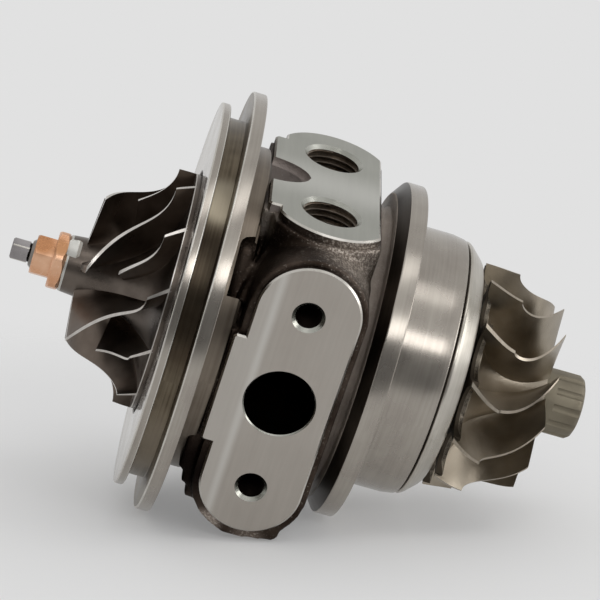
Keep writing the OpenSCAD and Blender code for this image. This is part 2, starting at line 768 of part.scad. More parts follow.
// Shaft with squared tip, journals, oil slinger and seal boss
module rotor_shaft() {
    color("#b9b6b0")
        difference() {
            union() {
                turned([
                    [0, nut_front - 0.6],
                    [stub_r - 0.5, nut_front - 0.6],
                    [stub_r, nut_front],
                    [stub_r, ring_back],
                    [journal_r, ring_back],
                    [journal_r, cavity_x],
                    [waist_r, cavity_x + 0.6],
                    [waist_r, cavity_end - 0.6],
                    [journal_r, cavity_end],
                    [journal_r, oil_room_x],
                    [slinger_r, oil_room_x + 0.8],
                    [slinger_r, oil_room_x + 1.6],
                    [seal_boss_r, oil_room_x + 1.9],
                    [seal_boss_r, x_turb_hub],
                    [0, x_turb_hub]]);
                intersection() {
                    translate([tip_end, -tip_w / 2, -tip_w / 2])
                        cube([tip_l, tip_w, tip_w]);
                    turned([
                        [0, tip_end],
                        [tip_w * 0.5, tip_end],
                        [tip_w * 0.62, tip_end + 0.6],
                        [tip_w * 0.62, nut_front],
                        [0, nut_front]]);
                }
            }
            for (x = [ring_at_1, ring_at_2])
                ring(x - ring_groove_w / 2, x + ring_groove_w / 2,
                     seal_boss_r - ring_groove_deep, seal_boss_r + 1);
        }
}

// Investment-cast turbine wheel with curved blades, scalloped back disc and slotted nose
module turbine_wheel() {
    steps = 10;
    hub = [for (i = [0 : steps])
        let (q = turb_xy(i / steps, 0, 0))
        [q[1], q[0]]];
    body = [for (p = hub) if (p[0] < turb_r - 2) p];
    disc_x = x_turb + turb_disc_t;
    color("#7d7468")
        union() {
            difference() {
                turned(concat(
                    [[0, x_turb_hub], [seal_boss_r, x_turb_hub], [seal_boss_r + 3.5, x_turb],
                     [turb_r - 0.5, x_turb], [turb_r - 0.5, disc_x]],
                    body,
                    [[turb_hub_r, x_nose], [nose_r, x_nose + 1.6], [nose_r, x_nose + nose_l - 1.1],
                     [nose_r - 1.3, x_nose + nose_l], [0, x_nose + nose_l]]));
                for (k = [0 : turb_blades - 1])
                    rotate([-(turb_turn + (k + 0.5) * 360 / turb_blades), 0, 0])
                        translate([0, -turb_r + 0.8, 0])
                            bar(x_turb - 1, disc_x + 6, scoop_r);
                for (k = [0 : 11])
                    rotate([-(nose_turn + k * 30), 0, 0])
                        translate([0, -nose_r - nose_slot_r * 0.5, 0])
                            bar(x_nose + 1.9, x_nose + nose_l + 1, nose_slot_r);
            }
            for (k = [0 : turb_blades - 1])
                turb_blade(turb_turn + k * 360 / turb_blades);
        }
}

// Cast compressor wheel with full and splitter blades
module compressor_wheel() {
    steps = 12;
    hub = [for (i = [0 : steps])
        let (q = comp_xy(i / steps, 0, 0))
        [q[1] + (i == steps ? eps : 0), q[0]]];
    pitch = 360 / comp_blades;
    color("#4a4743")
        difference() {
            union() {
                turned(concat(
                    [[0, comp_nose_x], [comp_hub_r - 2 * edge_break, comp_nose_x],
                     [comp_hub_r - edge_break, comp_nose_x + edge_break]],
                    hub,
                    [[comp_r, comp_back], [sleeve_seal_r + 5, comp_back],
                     [sleeve_seal_r + 1, comp_hub_back], [0, comp_hub_back]]));
                for (k = [0 : comp_blades - 1]) {
                    comp_blade(comp_turn + k * pitch, 0, 13);
                    comp_blade(comp_turn + (k + 0.5) * pitch, comp_split, 9);
                }
            }
            bar(comp_nose_x - 1, comp_hub_back + 1, stub_r + slip);
        }
}

// Shaft nut with a small hexagon and a larger collar
module lock_nut() {
    color("#b4713f")
        difference() {
            union() {
                intersection() {
                    translate([nut_front, 0, 0])
                        rotate([0, 90, 0])
                            cylinder(h = nut_hex_l + 0.5, r = nut_w / sqrt(3), $fn = 6);
                    turned([
                        [0, nut_front],
                        [nut_w * 0.5, nut_front],
                        [nut_w * 0.6, nut_front + 0.6],
                        [nut_w * 0.6, nut_back],
                        [0, nut_back]]);
                }
                intersection() {
                    translate([nut_back - nut_collar_l, 0, 0])
                        rotate([0, 90, 0])
                            cylinder(h = nut_collar_l, r = nut_collar_w / sqrt(3), $fn = 6);
                    turned([
                        [0, nut_back - nut_collar_l],
                        [nut_collar_w * 0.49, nut_back - nut_collar_l],
                        [nut_collar_w * 0.55, nut_back - nut_collar_l + 0.5],
                        [nut_collar_w * 0.55, nut_back - 0.4],
                        [nut_collar_w * 0.5, nut_back],
                        [0, nut_back]]);
                }
            }
            bar(nut_front - 1, nut_back + 1, stub_r + slip);
        }
}

// Insert that closes the compressor end of the housing and carries the seal
module seal_insert() {
    color("#9c978e")
        difference() {
            bar(insert_front, insert_seat, insert_r - slip);
            bar(insert_front - 1, insert_seat + 1, sleeve_seal_r + seal_gap);
            bar(insert_seat - 2.1, insert_seat + 1, thrower_r + 0.6);
            ring(o_ring_groove, o_ring_groove + o_ring_groove_w, insert_r - 2 * o_ring_r, insert_r + 1);
        }
}

// Rubber seal around the insert
module insert_o_ring() {
    color("#1d1c1b")
        translate([o_ring_groove + o_ring_groove_w / 2, 0, 0])
            rotate([0, 90, 0])
                rotate_extrude()
                    translate([insert_r - o_ring_r, 0])
                        circle(r = o_ring_r, $fn = 24);
}

// Spring steel ring that holds the insert, with two plier eyes
module insert_clip() {
    color("#57534e")
        difference() {
            union() {
                split_ring(insert_front - clip_t, insert_front, clip_ro - clip_w, clip_ro, clip_slot);
                for (side = [-1, 1])
                    translate([0, side * clip_eye_y, clip_eye_z])
                        bar(insert_front - clip_t, insert_front, clip_eye_r);
            }
            for (side = [-1, 1])
                translate([0, side * clip_eye_y, clip_eye_z])
                    bar(insert_front - clip_t - 1, insert_front + 1, clip_eye_hole_r);
        }
}

// Pressed cup that keeps oil away from the compressor seal
module oil_deflector() {
    color("#8f8a80")
        difference() {
            bar(insert_seat, deflector_back, thrust_r);
            bar(insert_seat - 1, deflector_back, deflector_hole_r);
            bar(insert_seat + deflector_t, deflector_back + 1, thrust_r - deflector_t);
        }
}

// Seal sleeve on the shaft with its oil slinger and ring groove
module seal_sleeve() {
    slinger_x = insert_seat - 1.7;
    color("#a8a49c")
        difference() {
            turned([
                [stub_r + slip, comp_hub_back],
                [sleeve_seal_r, comp_hub_back],
                [sleeve_seal_r, slinger_x - 0.4],
                [thrower_r, slinger_x],
                [thrower_r, slinger_x + 1.2],
                [sleeve_r - 0.4, slinger_x + 1.4],
                [sleeve_r - 0.4, collar_front],
                [stub_r + slip, collar_front]]);
            ring(ring_at_c - ring_groove_w / 2, ring_at_c + ring_groove_w / 2,
                 sleeve_seal_r - ring_groove_deep, sleeve_seal_r + 1);
        }
}

// Seal ring in the insert
module compressor_piston_ring() {
    seal_r = sleeve_seal_r + seal_gap;
    color("#6d6a66")
        split_ring(ring_at_c - piston_ring_t / 2, ring_at_c + piston_ring_t / 2,
                   seal_r - piston_ring_w, seal_r, ring_slot);
}

// Inner seal ring in the turbine end of the housing
module turbine_piston_ring_inner() {
    color("#6d6a66")
        split_ring(ring_at_1 - piston_ring_t / 2, ring_at_1 + piston_ring_t / 2,
                   seal_bore_r - piston_ring_w, seal_bore_r, ring_slot);
}

// Outer seal ring in the turbine end of the housing
module turbine_piston_ring_outer() {
    color("#6d6a66")
        rotate([180, 0, 0])
            split_ring(ring_at_2 - piston_ring_t / 2, ring_at_2 + piston_ring_t / 2,
                       seal_bore_r - piston_ring_w, seal_bore_r, ring_slot);
}

// Bronze plate that takes the axial load, with oil ways and dowel holes
module thrust_bearing() {
    color("#b08a4e")
        difference() {
            bar(deflector_back, thrust_back, thrust_r);
            bar(deflector_back - 1, thrust_back + 1, sleeve_r + 0.35);
            for (side = [-1, 1])
                translate([0, 0, side * dowel_at])
                    bar(deflector_back - 1, thrust_back + 1, dowel_r);
            for (k = [0 : 3])
                rotate([45 + k * 90, 0, 0])
                    translate([0, thrust_oil_at, 0])
                        bar(deflector_back - 1, thrust_back + 1, thrust_oil_r);
            translate([deflector_back - 1, -thrust_r - 1, -thrust_slot_w / 2])
                cube([thrust_t + 2, thrust_r - collar_r, thrust_slot_w]);
        }
}

// Two dowel pins that stop the thrust bearing turning
module thrust_dowels() {
    color("#8c8a87")
        for (side = [-1, 1])
            translate([0, 0, side * dowel_at])
                bar(deflector_back, deflector_back + dowel_l, dowel_r);
}

// Sleeve and front collar of the thrust bearing on the shaft
module thrust_sleeve() {
    color("#b0aca5")
        difference() {
            union() {
                bar(collar_front, collar_back, collar_r);
                bar(collar_front, ring_front, sleeve_r);
            }
            bar(collar_front - 1, ring_front + 1, stub_r + slip);
        }
}

// Back collar of the thrust bearing on the shaft
module thrust_ring() {
    color("#b0aca5")
        ring(ring_front, ring_back, stub_r + slip, collar_r);
}

// Floating bearing bush with oil holes, centred at x
module bush(x) {
    difference() {
        ring(x - bush_l / 2, x + bush_l / 2, journal_r + film_in, bush_r);
        for (k = [0 : 2])
            rotate([k * 60, 0, 0])
                translate([x, 0, -bush_r - 1])
                    cylinder(h = 2 * bush_r + 2, r = bush_hole_r, $fn = 32);
    }
}

// Floating bearing at the compressor end
module journal_bearing_compressor() {
    color("#c29a54")
        bush(bush_c);
}

// Floating bearing at the turbine end
module journal_bearing_turbine() {
    color("#c29a54")
        bush(bush_t);
}

// Retaining ring in a housing groove, centred at x
module keeper(x) {
    split_ring(x - keeper_t / 2, x + keeper_t / 2, keeper_ri, keeper_r, keeper_slot);
}

// Two retaining rings of the compressor end bearing
module bearing_rings_compressor() {
    color("#57534e") {
        keeper(keeper_c1);
        keeper(keeper_c2);
    }
}

// Two retaining rings of the turbine end bearing
module bearing_rings_turbine() {
    color("#57534e") {
        keeper(keeper_t1);
        keeper(keeper_t2);
    }
}

bearing_housing();
heat_shield();
rotor_shaft();
turbine_wheel();
compressor_wheel();
lock_nut();
seal_insert();
insert_o_ring();
insert_clip();
oil_deflector();
seal_sleeve();
compressor_piston_ring();
turbine_piston_ring_inner();
turbine_piston_ring_outer();
thrust_bearing();
thrust_dowels();
thrust_sleeve();
thrust_ring();
journal_bearing_compressor();
journal_bearing_turbine();
bearing_rings_compressor();
bearing_rings_turbine();
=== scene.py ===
import math

import bmesh
import bpy
from mathutils import Matrix, Vector


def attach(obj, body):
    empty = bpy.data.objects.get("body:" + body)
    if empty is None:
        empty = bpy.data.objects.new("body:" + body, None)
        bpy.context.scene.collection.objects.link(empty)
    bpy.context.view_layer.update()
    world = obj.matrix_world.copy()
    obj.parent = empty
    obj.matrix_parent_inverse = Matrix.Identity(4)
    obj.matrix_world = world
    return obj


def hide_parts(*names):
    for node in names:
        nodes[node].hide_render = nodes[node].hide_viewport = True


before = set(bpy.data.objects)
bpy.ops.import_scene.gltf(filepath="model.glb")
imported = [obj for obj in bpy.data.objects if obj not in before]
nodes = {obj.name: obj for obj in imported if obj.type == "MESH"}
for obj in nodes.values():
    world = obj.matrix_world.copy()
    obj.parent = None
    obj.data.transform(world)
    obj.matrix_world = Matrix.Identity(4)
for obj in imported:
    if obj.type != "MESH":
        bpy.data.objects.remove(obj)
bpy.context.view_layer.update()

MM = 0.001

# Sizes in millimetres along and around the shaft, as in the part's source.
X_FRONT, X_GROOVE, RIM_T = -5.3, -3.6, 2.7
RIM_R, FRONT_RIM_R, GROOVE_R, LEDGE_R = 43.08, 39.3, 36.8, 33.0
X_LEDGE, X_RELIEF, RELIEF_R = 6.5, 7.1, 31.6
X_RECESS, RECESS_R, INSERT_R = -4.2, 25.0, 22.0
BODY_R, NECK_R, PORT_X = 25.5, 28.0, 19.3
DRAIN_Y, DRAIN_R, DRAIN_END_R, BOLT_Z = 33.35, 6.75, 10.0, 19.0
PAD_T, DRAIN_TONGUE, FOOT_Z, FOOT_HALF_W = 1.6, 11.75, 31.2, 6.5
BOSS_Z, BOSS_HALF_L, BOSS_HALF_W, BOSS_END_R = 32.2, 24.6, 9.9, 11.6
BOSS_TONGUE, PORT_Y = 16.75, 13.2
SCALLOP_R, SCALLOP_L = 5.6, 11.6
POCKET_X, POCKET_R, POCKET_FROM, POCKET_TO = 6.2, 2.3, 30, 48
WALL_R, WALL_T, WALL_L, WALL_SLANT = 31.6, 2.2, 11.0, 14
INLET_Y, INLET_BOSS_R = 31.0, 9.0
FLANGE_X, X_EDGE, X_FLANGE, FLANGE_R = 32.6, 34.6, 38.2, 34.4
DRUM_R, X_DRUM, DRUM_TAPER, X_HUB, HUB_BOSS_R = 26.9, 49.2, 2.6, 51.2, 13.5
SHIELD_R, SHIELD_FACE_R, SHIELD_TOP, SHIELD_HOLE_R = 26.3, 23.1, 53.4, 9.0


def linear(hex_colour):
    """Linear colour from an sRGB hex value."""
    parts = [int(hex_colour[i:i + 2], 16) / 255 for i in (1, 3, 5)]
    return [c / 12.92 if c <= 0.04045 else ((c + 0.055) / 1.055) ** 2.4 for c in parts] + [1.0]


def per_mm(size):
    """Texture scale that gives features of this size in millimetres."""
    return 1000.0 / size


def mix(a, b, t):
    """Value on the way from a to b."""
    return a + (b - a) * t


# Materials

def add(tree, kind, inputs=None, **settings):
    """Adds a node with its settings; an input is a value or another node's output."""
    made = tree.nodes.new(kind)
    for name, value in settings.items():
        setattr(made, name, value)
    for name, value in (inputs or {}).items():
        if isinstance(value, bpy.types.NodeSocket):
            tree.links.new(value, made.inputs[name])
        else:
            made.inputs[name].default_value = value
    return made


def calc(tree, operation, *values):
    """Math node on values or outputs."""
    return add(tree, "ShaderNodeMath", dict(enumerate(values)), operation=operation).outputs[0]


def ramp(tree, value, low, high, first, last, kind="LINEAR"):
    """Value between low and high turned into one between first and last."""
    return add(tree, "ShaderNodeMapRange", {0: value, 1: low, 2: high, 3: first, 4: last},
               interpolation_type=kind).outputs[0]


def noise(tree, place, size, detail, roughness=0.5):
    """Noise with features of this size in millimetres."""
    return add(tree, "ShaderNodeTexNoise", {"Vector": place, "Scale": per_mm(size), "Detail": detail,
                                            "Roughness": roughness}).outputs[0]


def tinted(tree, share, colour, shade):
    """Colour with a share of another shade."""
    return add(tree, "ShaderNodeMix", {0: share, 6: colour, 7: linear(shade)}, data_type="RGBA").outputs[2]


def near_spot(tree, place, x, y, z, reach):
    """1 at a place in millimetres, falling softly to 0 at its reach."""
    offset = add(tree, "ShaderNodeVectorMath", {0: place, 1: (x * MM, y * MM, z * MM)},
                 operation="DISTANCE").outputs["Value"]
    return ramp(tree, offset, reach * 0.4 * MM, reach * MM, 1.0, 0.0, "SMOOTHSTEP")


def bumpy(tree, strength, depth, height):
    """Normal of a skin with this relief, depth in millimetres."""
    return add(tree, "ShaderNodeBump", {"Strength": strength, "Distance": depth * MM, "Height": height}).outputs[0]


def new_material(name):
    """Empty node material, its tree and its output node."""
    made = bpy.data.materials.new(name)
    made.use_nodes = True
    made.node_tree.nodes.clear()
    return made, made.node_tree, made.node_tree.nodes.new("ShaderNodeOutputMaterial")


def skinned(made, tree, out, inputs):
    """Ends a new material with its surface."""
    surface = add(tree, "ShaderNodeBsdfPrincipled", inputs)
    tree.links.new(surface.outputs[0], out.inputs[0])
    return made


# How much the turned rings change on their way round, and how far a patch hides them.
RING_DRIFT, PATCH_SHARE = 0.0006, 0.75
# Brown of stains, and grey of the painted highlight band on milled faces.
PIT_BROWN, PAINTED_SHEEN_GREY = "#3a2e22", "#e4e3de"


def turned_metal(name, dark, light, rough, aniso=0.7, ring=0.5, bump=0.1, pits=0.0, patches=()):
    """Metal turned on a lathe about the shaft: fine rings round the axis that draw the highlights out
    into bands along it. Real rings are about 0.1 mm apart; they are drawn coarser so that they show.
    pits is the size of stains, and patches are places (x, y, z, reach in mm) with their own colour: painted
    highlights and painted shade."""
    made, tree, out = new_material(name)
    place = add(tree, "ShaderNodeTexCoord").outputs["Object"]
    axes = add(tree, "ShaderNodeSeparateXYZ", {0: place}).outputs
    square = calc(tree, "MULTIPLY_ADD", axes["Z"], axes["Z"], calc(tree, "MULTIPLY", axes["Y"], axes["Y"]))
    drift = calc(tree, "MULTIPLY", calc(tree, "ARCTAN2", axes["Z"], axes["Y"]), RING_DRIFT)
    path = add(tree, "ShaderNodeCombineXYZ", {0: axes["X"], 1: calc(tree, "SQRT", square), 2: drift}).outputs[0]
    rings = noise(tree, path, ring, 4.0, 0.7)
    clouds = noise(tree, place, 9, 3.0)
    share = ramp(tree, calc(tree, "MULTIPLY_ADD", rings, 0.7, clouds), 0.6, 1.1, 0.0, 1.0)
    colour = tinted(tree, share, linear(dark), light)
    # Patches of painted highlight and painted shade.
    for *spot, shade in patches:
        near = near_spot(tree, place, *spot)
        part = calc(tree, "MULTIPLY", calc(tree, "MULTIPLY", near, near), PATCH_SHARE)
        colour = tinted(tree, part, colour, shade)
    if pits:
        cells = add(tree, "ShaderNodeTexVoronoi", {"Vector": place, "Scale": per_mm(11)}).outputs[0]
        colour = tinted(tree, ramp(tree, cells, pits, pits * 1.5, 1.0, 0.0), colour, PIT_BROWN)
    return skinned(made, tree, out, {
        "Base Color": colour, "Metallic": 1.0, "Roughness": ramp(tree, clouds, 0.3, 0.7, rough - 0.05, rough + 0.07),
        "Anisotropic": aniso, "Anisotropic Rotation": 0.25, "Normal": bumpy(tree, bump, 0.08, rings),
        "Tangent": add(tree, "ShaderNodeTangent", direction_type="RADIAL", axis="X").outputs[0]})


def milled_metal(name, dark, light, rough, stretch, painted_sheen):
    """Flat iron face cut with a face mill: a satin sheen with faint streaks along the cutter's path.
    painted_sheen is a painted highlight band: its axis, place and reach in mm, and how bright it and the near side
    are."""
    made, tree, out = new_material(name)
    place = add(tree, "ShaderNodeTexCoord").outputs["Object"]
    path = add(tree, "ShaderNodeMapping", {"Vector": place, "Scale": stretch}).outputs[0]
    streaks = noise(tree, path, 0.9, 5.0, 0.65)
    clouds = noise(tree, place, 12, 2.0)
    share = ramp(tree, calc(tree, "MULTIPLY_ADD", streaks, 0.6, clouds), 0.5, 1.1, 0.0, 1.0)
    # Painted highlight: a bright band, and a lighter side beside it.
    axis, spot, reach, line, side = painted_sheen
    axes = add(tree, "ShaderNodeSeparateXYZ", {0: place}).outputs
    away = calc(tree, "SUBTRACT", axes[axis], spot * MM)
    half = 0.6 * reach * MM
    band = calc(tree, "ADD", ramp(tree, calc(tree, "ABSOLUTE", away), 0.0, reach * MM, line, 0.0, "SMOOTHSTEP"),
                ramp(tree, away, -half, half, side, 0.0, "SMOOTHSTEP"))
    return skinned(made, tree, out, {
        "Base Color": tinted(tree, band, tinted(tree, share, linear(dark), light), PAINTED_SHEEN_GREY), "Metallic": 1.0,
        "Roughness": ramp(tree, clouds, 0.3, 0.7, rough - 0.04, rough + 0.05),
        "Normal": bumpy(tree, 0.12, 0.05, streaks)})


def cast_metal(name, dark, light, rough, grain=0.7, bump=0.5, metallic=1.0, speck=None, patches=()):
    """Metal as it left the mould: a gritty skin with soft tones. speck is the colour of bright grains, worn metal
    with painted glints on it, and patches are places (x, y, z, reach in mm) with their own colour and share of
    bright grains."""
    made, tree, out = new_material(name)
    place = add(tree, "ShaderNodeTexCoord").outputs["Object"]
    grit = noise(tree, place, grain, 5.0, 0.7)
    clouds = noise(tree, place, 7, 4.0)
    colour = tinted(tree, ramp(tree, clouds, 0.35, 0.68, 0.0, 1.0), linear(dark), light)
    lift = 0.0
    for *spot, shade, more in patches:
        near = near_spot(tree, place, *spot)
        colour = tinted(tree, near, colour, shade)
        lift = calc(tree, "MULTIPLY_ADD", near, more, lift)
    # Bright specks: worn grains with painted glints on them.
    if speck:
        wear_and_glints = ramp(tree, calc(tree, "ADD", grit, lift), 0.6, 0.78, 0.0, 0.8)
        colour = tinted(tree, wear_and_glints, colour, speck)
    return skinned(made, tree, out, {
        "Base Color": colour, "Metallic": metallic,
        "Roughness": ramp(tree, clouds, 0.3, 0.7, rough - 0.08, rough + 0.1),
        "Normal": bumpy(tree, bump, 0.25, grit)})


# Oiled cast iron: brown-black skin with a wet sheen, lighter and gritty below the port boss, and near black with
# painted shade in the notch by the rib steps beside the drain tongue.
CAST_IRON = cast_metal("cast_iron_oiled", "#2f2620", "#52473f", 0.42, 0.45, 0.8, speck="#d6ccc0",
                       patches=((25, -24, 28, 11, "#675d55", 0.15), (13, -32, -30, 4, "#8c8077", 0.14),
                                (22, -32, -32, 5, "#6c6159", 0.08), (8, -28, -20, 9, "#17110f", -0.2),
                                (8, -17, 29, 4.5, "#968d84", 0.05)))
# Iron turned bright on the flanges and the drum.
TURNED_IRON = turned_metal("turned_iron", "#99928a", "#aea89f", 0.27, aniso=0.75, pits=0.02)
# Front face, turned finer: it mirrors the dark wheel in front of it and the pale room below.
FACE_IRON = turned_metal("faced_iron", "#a39d95", "#b8b2a9", 0.16, aniso=0.3, ring=0.6, bump=0.04)
# Bottom of the seal groove: turned and oily, olive and dark, the darkness partly painted shade between the rims; its
# patches paint a highlight near the top, shade below it, a brown band and a lighter reflection lower down.
GROOVE_IRON = turned_metal("turned_groove", "#453c31", "#877c6a", 0.36, ring=0.45, bump=0.3,
                           patches=((-1.8, -20, 31, 8, "#a39a88"), (-1.8, -30, 21, 13, "#2c241d"),
                                    (-1.8, -35, 9, 10, "#4a3f33"), (-1.8, -33, -17, 15, "#8b8172")))
# Face of the clamp cone, painted near black: painted shade in the deep gap beside the turbine flange.
CONE_IRON = turned_metal("turned_cone_painted_shade", "#29231e", "#3b342d", 0.38)
# Outer face of the ledge, turned coarse.
LEDGE_IRON = turned_metal("turned_ledge", "#5f564c", "#887e72", 0.38, ring=0.9, bump=0.3)
# Turned faces in shade, painted darker: painted shade.
SHADE_IRON = turned_metal("turned_iron_painted_shade", "#40382f", "#5b5248", 0.34)
# Milled faces of the drain flange and of the port boss, each with a painted highlight band across it; on the drain
# face the side towards the compressor flange is painted lighter too.
MILLED_DRAIN = milled_metal("milled_drain_face", "#a9a29a", "#b8b2aa", 0.4, (1.0, 1.0, 0.06),
                            ("X", 12.8, 1.3, 0.36, 0.16))
MILLED_BOSS = milled_metal("milled_boss_face", "#9b9b93", "#acaca4", 0.38, (1.0, 0.06, 1.0),
                           ("Y", -1.0, 12.0, 0.36, 0.0))
# Broken edges of the milled faces, rubbed bright.
EDGE_IRON = cast_metal("bright_iron_edge", "#bab6ae", "#d8d4cd", 0.27, 0.4, 0.05)
# Neck beside the drain flange, as cast and dry.
NECK_IRON = cast_metal("cast_neck", "#887d73", "#a5998e", 0.5, 0.45, 0.9, metallic=0.15, speck="#cdc2b6")
# Rough hollow of the scallop in the boss and the flank of the boss.
HOLLOW_IRON = cast_metal("cast_hollow", "#857b76", "#a1968f", 0.5, 0.5, 0.5, metallic=0.4, speck="#c6beb4")
# Countersinks, cut bright.
SINK_IRON = cast_metal("countersunk_iron", "#9a9a92", "#bcbcb4", 0.25, 0.4, 0.08)
# Tapped threads: bright cut crests, oil in the roots.
THREAD_IRON = turned_metal("tapped_thread", "#83786c", "#b9aea1", 0.3, aniso=0.3)
# Bores that are seen only as dark holes, their walls painted near black: painted shade.
BORE_IRON = cast_metal("bore_painted_shade", "#0d0a08", "#1a1512", 0.5, bump=0.2)
# Pressed sheet of the heat shield, turned bright.
SHIELD_STEEL = turned_metal("shield_steel", "#a8a399", "#cdc8bf", 0.3)
# Cast aluminium of the compressor wheel, smooth, painted dark: a painted reflection of the dark room it mirrors.
WHEEL_ALUMINIUM = cast_metal("cast_aluminium_dark", "#5a5048", "#766b62", 0.33, 0.6, 0.12)
# Its hub between the blades, a little glossier, and painted as dark: painted reflection of the dark room.
HUB_ALUMINIUM = cast_metal("cast_aluminium_hub", "#564e48", "#766d65", 0.3, 0.6, 0.12)
# Tip edges of the blades, turned bright with the wheel's outer shape.
TIP_ALUMINIUM = turned_metal("turned_aluminium_edge", "#bab5af", "#dedad4", 0.3, aniso=0.4)
# Turned nose of the compressor wheel and its ground balancing cut.
NOSE_ALUMINIUM = cast_metal("turned_aluminium_nose", "#b7b6b0", "#d0cfca", 0.42, 0.3, 0.2)
# Investment-cast nickel alloy of the turbine wheel: warm grey, fine skin.
NICKEL_ALLOY = cast_metal("cast_nickel_alloy", "#908779", "#aba192", 0.37, 0.4, 0.2)
# Back and rim of the turbine disc, dull, painted dark: painted shade behind the blades.
NICKEL_SHADE = cast_metal("cast_nickel_painted_shade", "#3b352d", "#544c42", 0.55, 0.4, 0.2)
# Ground edges of the turbine blades: thin bright lines.
NICKEL_EDGE = turned_metal("ground_nickel_edge", "#968c7e", "#bab1a3", 0.34, aniso=0.3)
# Slotted nose, duller and greener.
NICKEL_NOSE = cast_metal("cast_nickel_nose", "#726b5d", "#8d8676", 0.55, 0.3, 0.25)
# Copper plate on the steel nut.
COPPER = cast_metal("copper_plate", "#d09b77", "#f0c6a6", 0.3, 0.9, 0.12, speck="#f4dcc8",
                    patches=((-31.6, -1.6, 3.4, 3.6, "#b27f5a", -0.3), (-28.0, -3.2, 4.4, 2.8, "#b58560", -0.3)))
# Ground steel of the shaft, sleeves and dowels.
SHAFT_STEEL = turned_metal("ground_steel", "#6d6862", "#8f8983", 0.25)
# Squared tip of the shaft, milled and bright.
TIP_STEEL = cast_metal("milled_steel_tip", "#8a8686", "#b3aeae", 0.3, 0.3, 0.08)
# Inner pieces, seen only through the drain: turned iron, oiled spring steel, warm bronze and dull rubber.
INSERT_IRON = turned_metal("turned_insert_iron", "#5f584f", "#857d72", 0.36)
SPRING_STEEL = cast_metal("oiled_spring_steel", "#2a2725", "#403b37", 0.35, bump=0.1)
BRONZE = turned_metal("machined_bronze", "#94703a", "#b98f52", 0.32)
RUBBER = cast_metal("black_rubber", "#121111", "#1c1b1a", 0.6, bump=0.15, metallic=0.0)


# Shapes

def placed(name, data, materials=()):
    """Object in the scene, with its materials."""
    for material in materials:
        data.materials.append(material)
    made = bpy.data.objects.new(name, data)
    bpy.context.scene.collection.objects.link(made)
    return made


def piece(name, points, faces, materials, which=None, crease=35):
    """Closed mesh from points in millimetres, smooth except across sharp edges."""
    mesh = bpy.data.meshes.new(name)
    mesh.from_pydata([Vector(p) * MM for p in points], [], faces)
    if which:
        mesh.polygons.foreach_set("material_index", which)
    made = placed(name, mesh, materials)
    tidy(made, crease)
    return made


def tidy(made, crease=35):
    """Merges doubles, turns the faces outwards and sets the shading."""
    work = bmesh.new()
    work.from_mesh(made.data)
    bmesh.ops.remove_doubles(work, verts=work.verts, dist=1e-6)
    bmesh.ops.dissolve_degenerate(work, edges=work.edges, dist=1e-7)
    bmesh.ops.recalc_face_normals(work, faces=work.faces)
    work.to_mesh(made.data)
    work.free()
    made.data.polygons.foreach_set("use_smooth", [True] * len(made.data.polygons))
    made.data.set_sharp_from_angle(angle=math.radians(crease))
    made.data.update()


def around(x, r, turn):
    """Point at axial place x and radius r, turned in degrees from -Y towards +Z."""
    a = math.radians(turn)
    return (x, -r * math.cos(a), r * math.sin(a))


def soften(profile, radius, steps=3):
    """Rounds the corners of a closed profile of (x, r, material of the stretch that follows); a fourth value
    is the corner's own material."""
    done = []
    count = len(profile)
    for i, (x, r, tag, *own) in enumerate(profile):
        before, after = profile[i - 1], profile[(i + 1) % count]
        p, a, b = Vector((x, r)), Vector(before[:2]), Vector(after[:2])
        to_a, to_b = a - p, b - p
        straight = to_a.length < 1e-6 or to_b.length < 1e-6 or r < 1e-6
        if straight or to_a.angle(to_b) > math.radians(160):
            done.append((x, r, tag))
            continue
        cut = min(radius, 0.4 * to_a.length, 0.4 * to_b.length)
        start, end = p + to_a.normalized() * cut, p + to_b.normalized() * cut
        corner = own[0] if own else before[2]
        for k in range(steps + 1):
            t = k / steps
            q = start * (1 - t) ** 2 + p * 2 * t * (1 - t) + end * t * t
            done.append((q.x, q.y, tag if k == steps else corner))
    return done


def turned(name, profile, materials, edge=0.25, turns=240, limit=None, crease=35):
    """Closed profile, as in soften, turned about the shaft; limit(turn) caps the radius."""
    rows = soften(profile, edge) if edge else profile
    points = []
    for x, r, _ in rows:
        for k in range(turns):
            turn = 360 * k / turns
            points.append(around(x, min(r, limit(turn)) if limit else r, turn))
    faces, which = [], []
    for i, row in enumerate(rows):
        j = (i + 1) % len(rows)
        for k in range(turns):
            m = (k + 1) % turns
            faces.append((i * turns + k, i * turns + m, j * turns + m, j * turns + k))
            which.append(row[2])
    return piece(name, points, faces, materials, which, crease)


def inset(outline, depth):
    """Outline with every corner moved inwards by depth."""
    count = len(outline)
    corners = [Vector(p) for p in outline]
    area = sum(corners[i - 1].x * corners[i].y - corners[i].x * corners[i - 1].y for i in range(count))
    moved = []
    for i, corner in enumerate(corners):
        one = (corner - corners[i - 1]).normalized()
        two = (corners[(i + 1) % count] - corner).normalized()
        way = Vector((-one.y - two.y, one.x + two.x)) * math.copysign(depth, area)
        moved.append(corner + way / (1 + one.dot(two)))
    return moved


def plate(name, outline, depth, matrix, materials, edge=0.35):
    """Flat outline pushed down by depth: material 0 on top, 1 at the sides and 2 on the broken top edge."""
    count = len(outline)
    rings = [(inset(outline, edge), 0), (outline, -edge), (outline, -depth)]
    points = [matrix @ Vector((x, y, z)) for ring, z in rings for x, y in ring]
    faces = [tuple(range(count)), tuple(range(3 * count - 1, 2 * count - 1, -1))]
    faces += [(k * count + i, (k + 1) * count + i, (k + 1) * count + (i + 1) % count, k * count + (i + 1) % count)
              for k in (0, 1) for i in range(count)]
    return piece(name, points, faces, materials, [0, 1] + [2] * count + [1] * count)


def apply_modifiers(made):
    """Turns the object with its modifiers into a plain mesh."""
    held = made.evaluated_get(bpy.context.evaluated_depsgraph_get())
    mesh = bpy.data.meshes.new_from_object(held)
    made.modifiers.clear()
    made.data = mesh
    return made


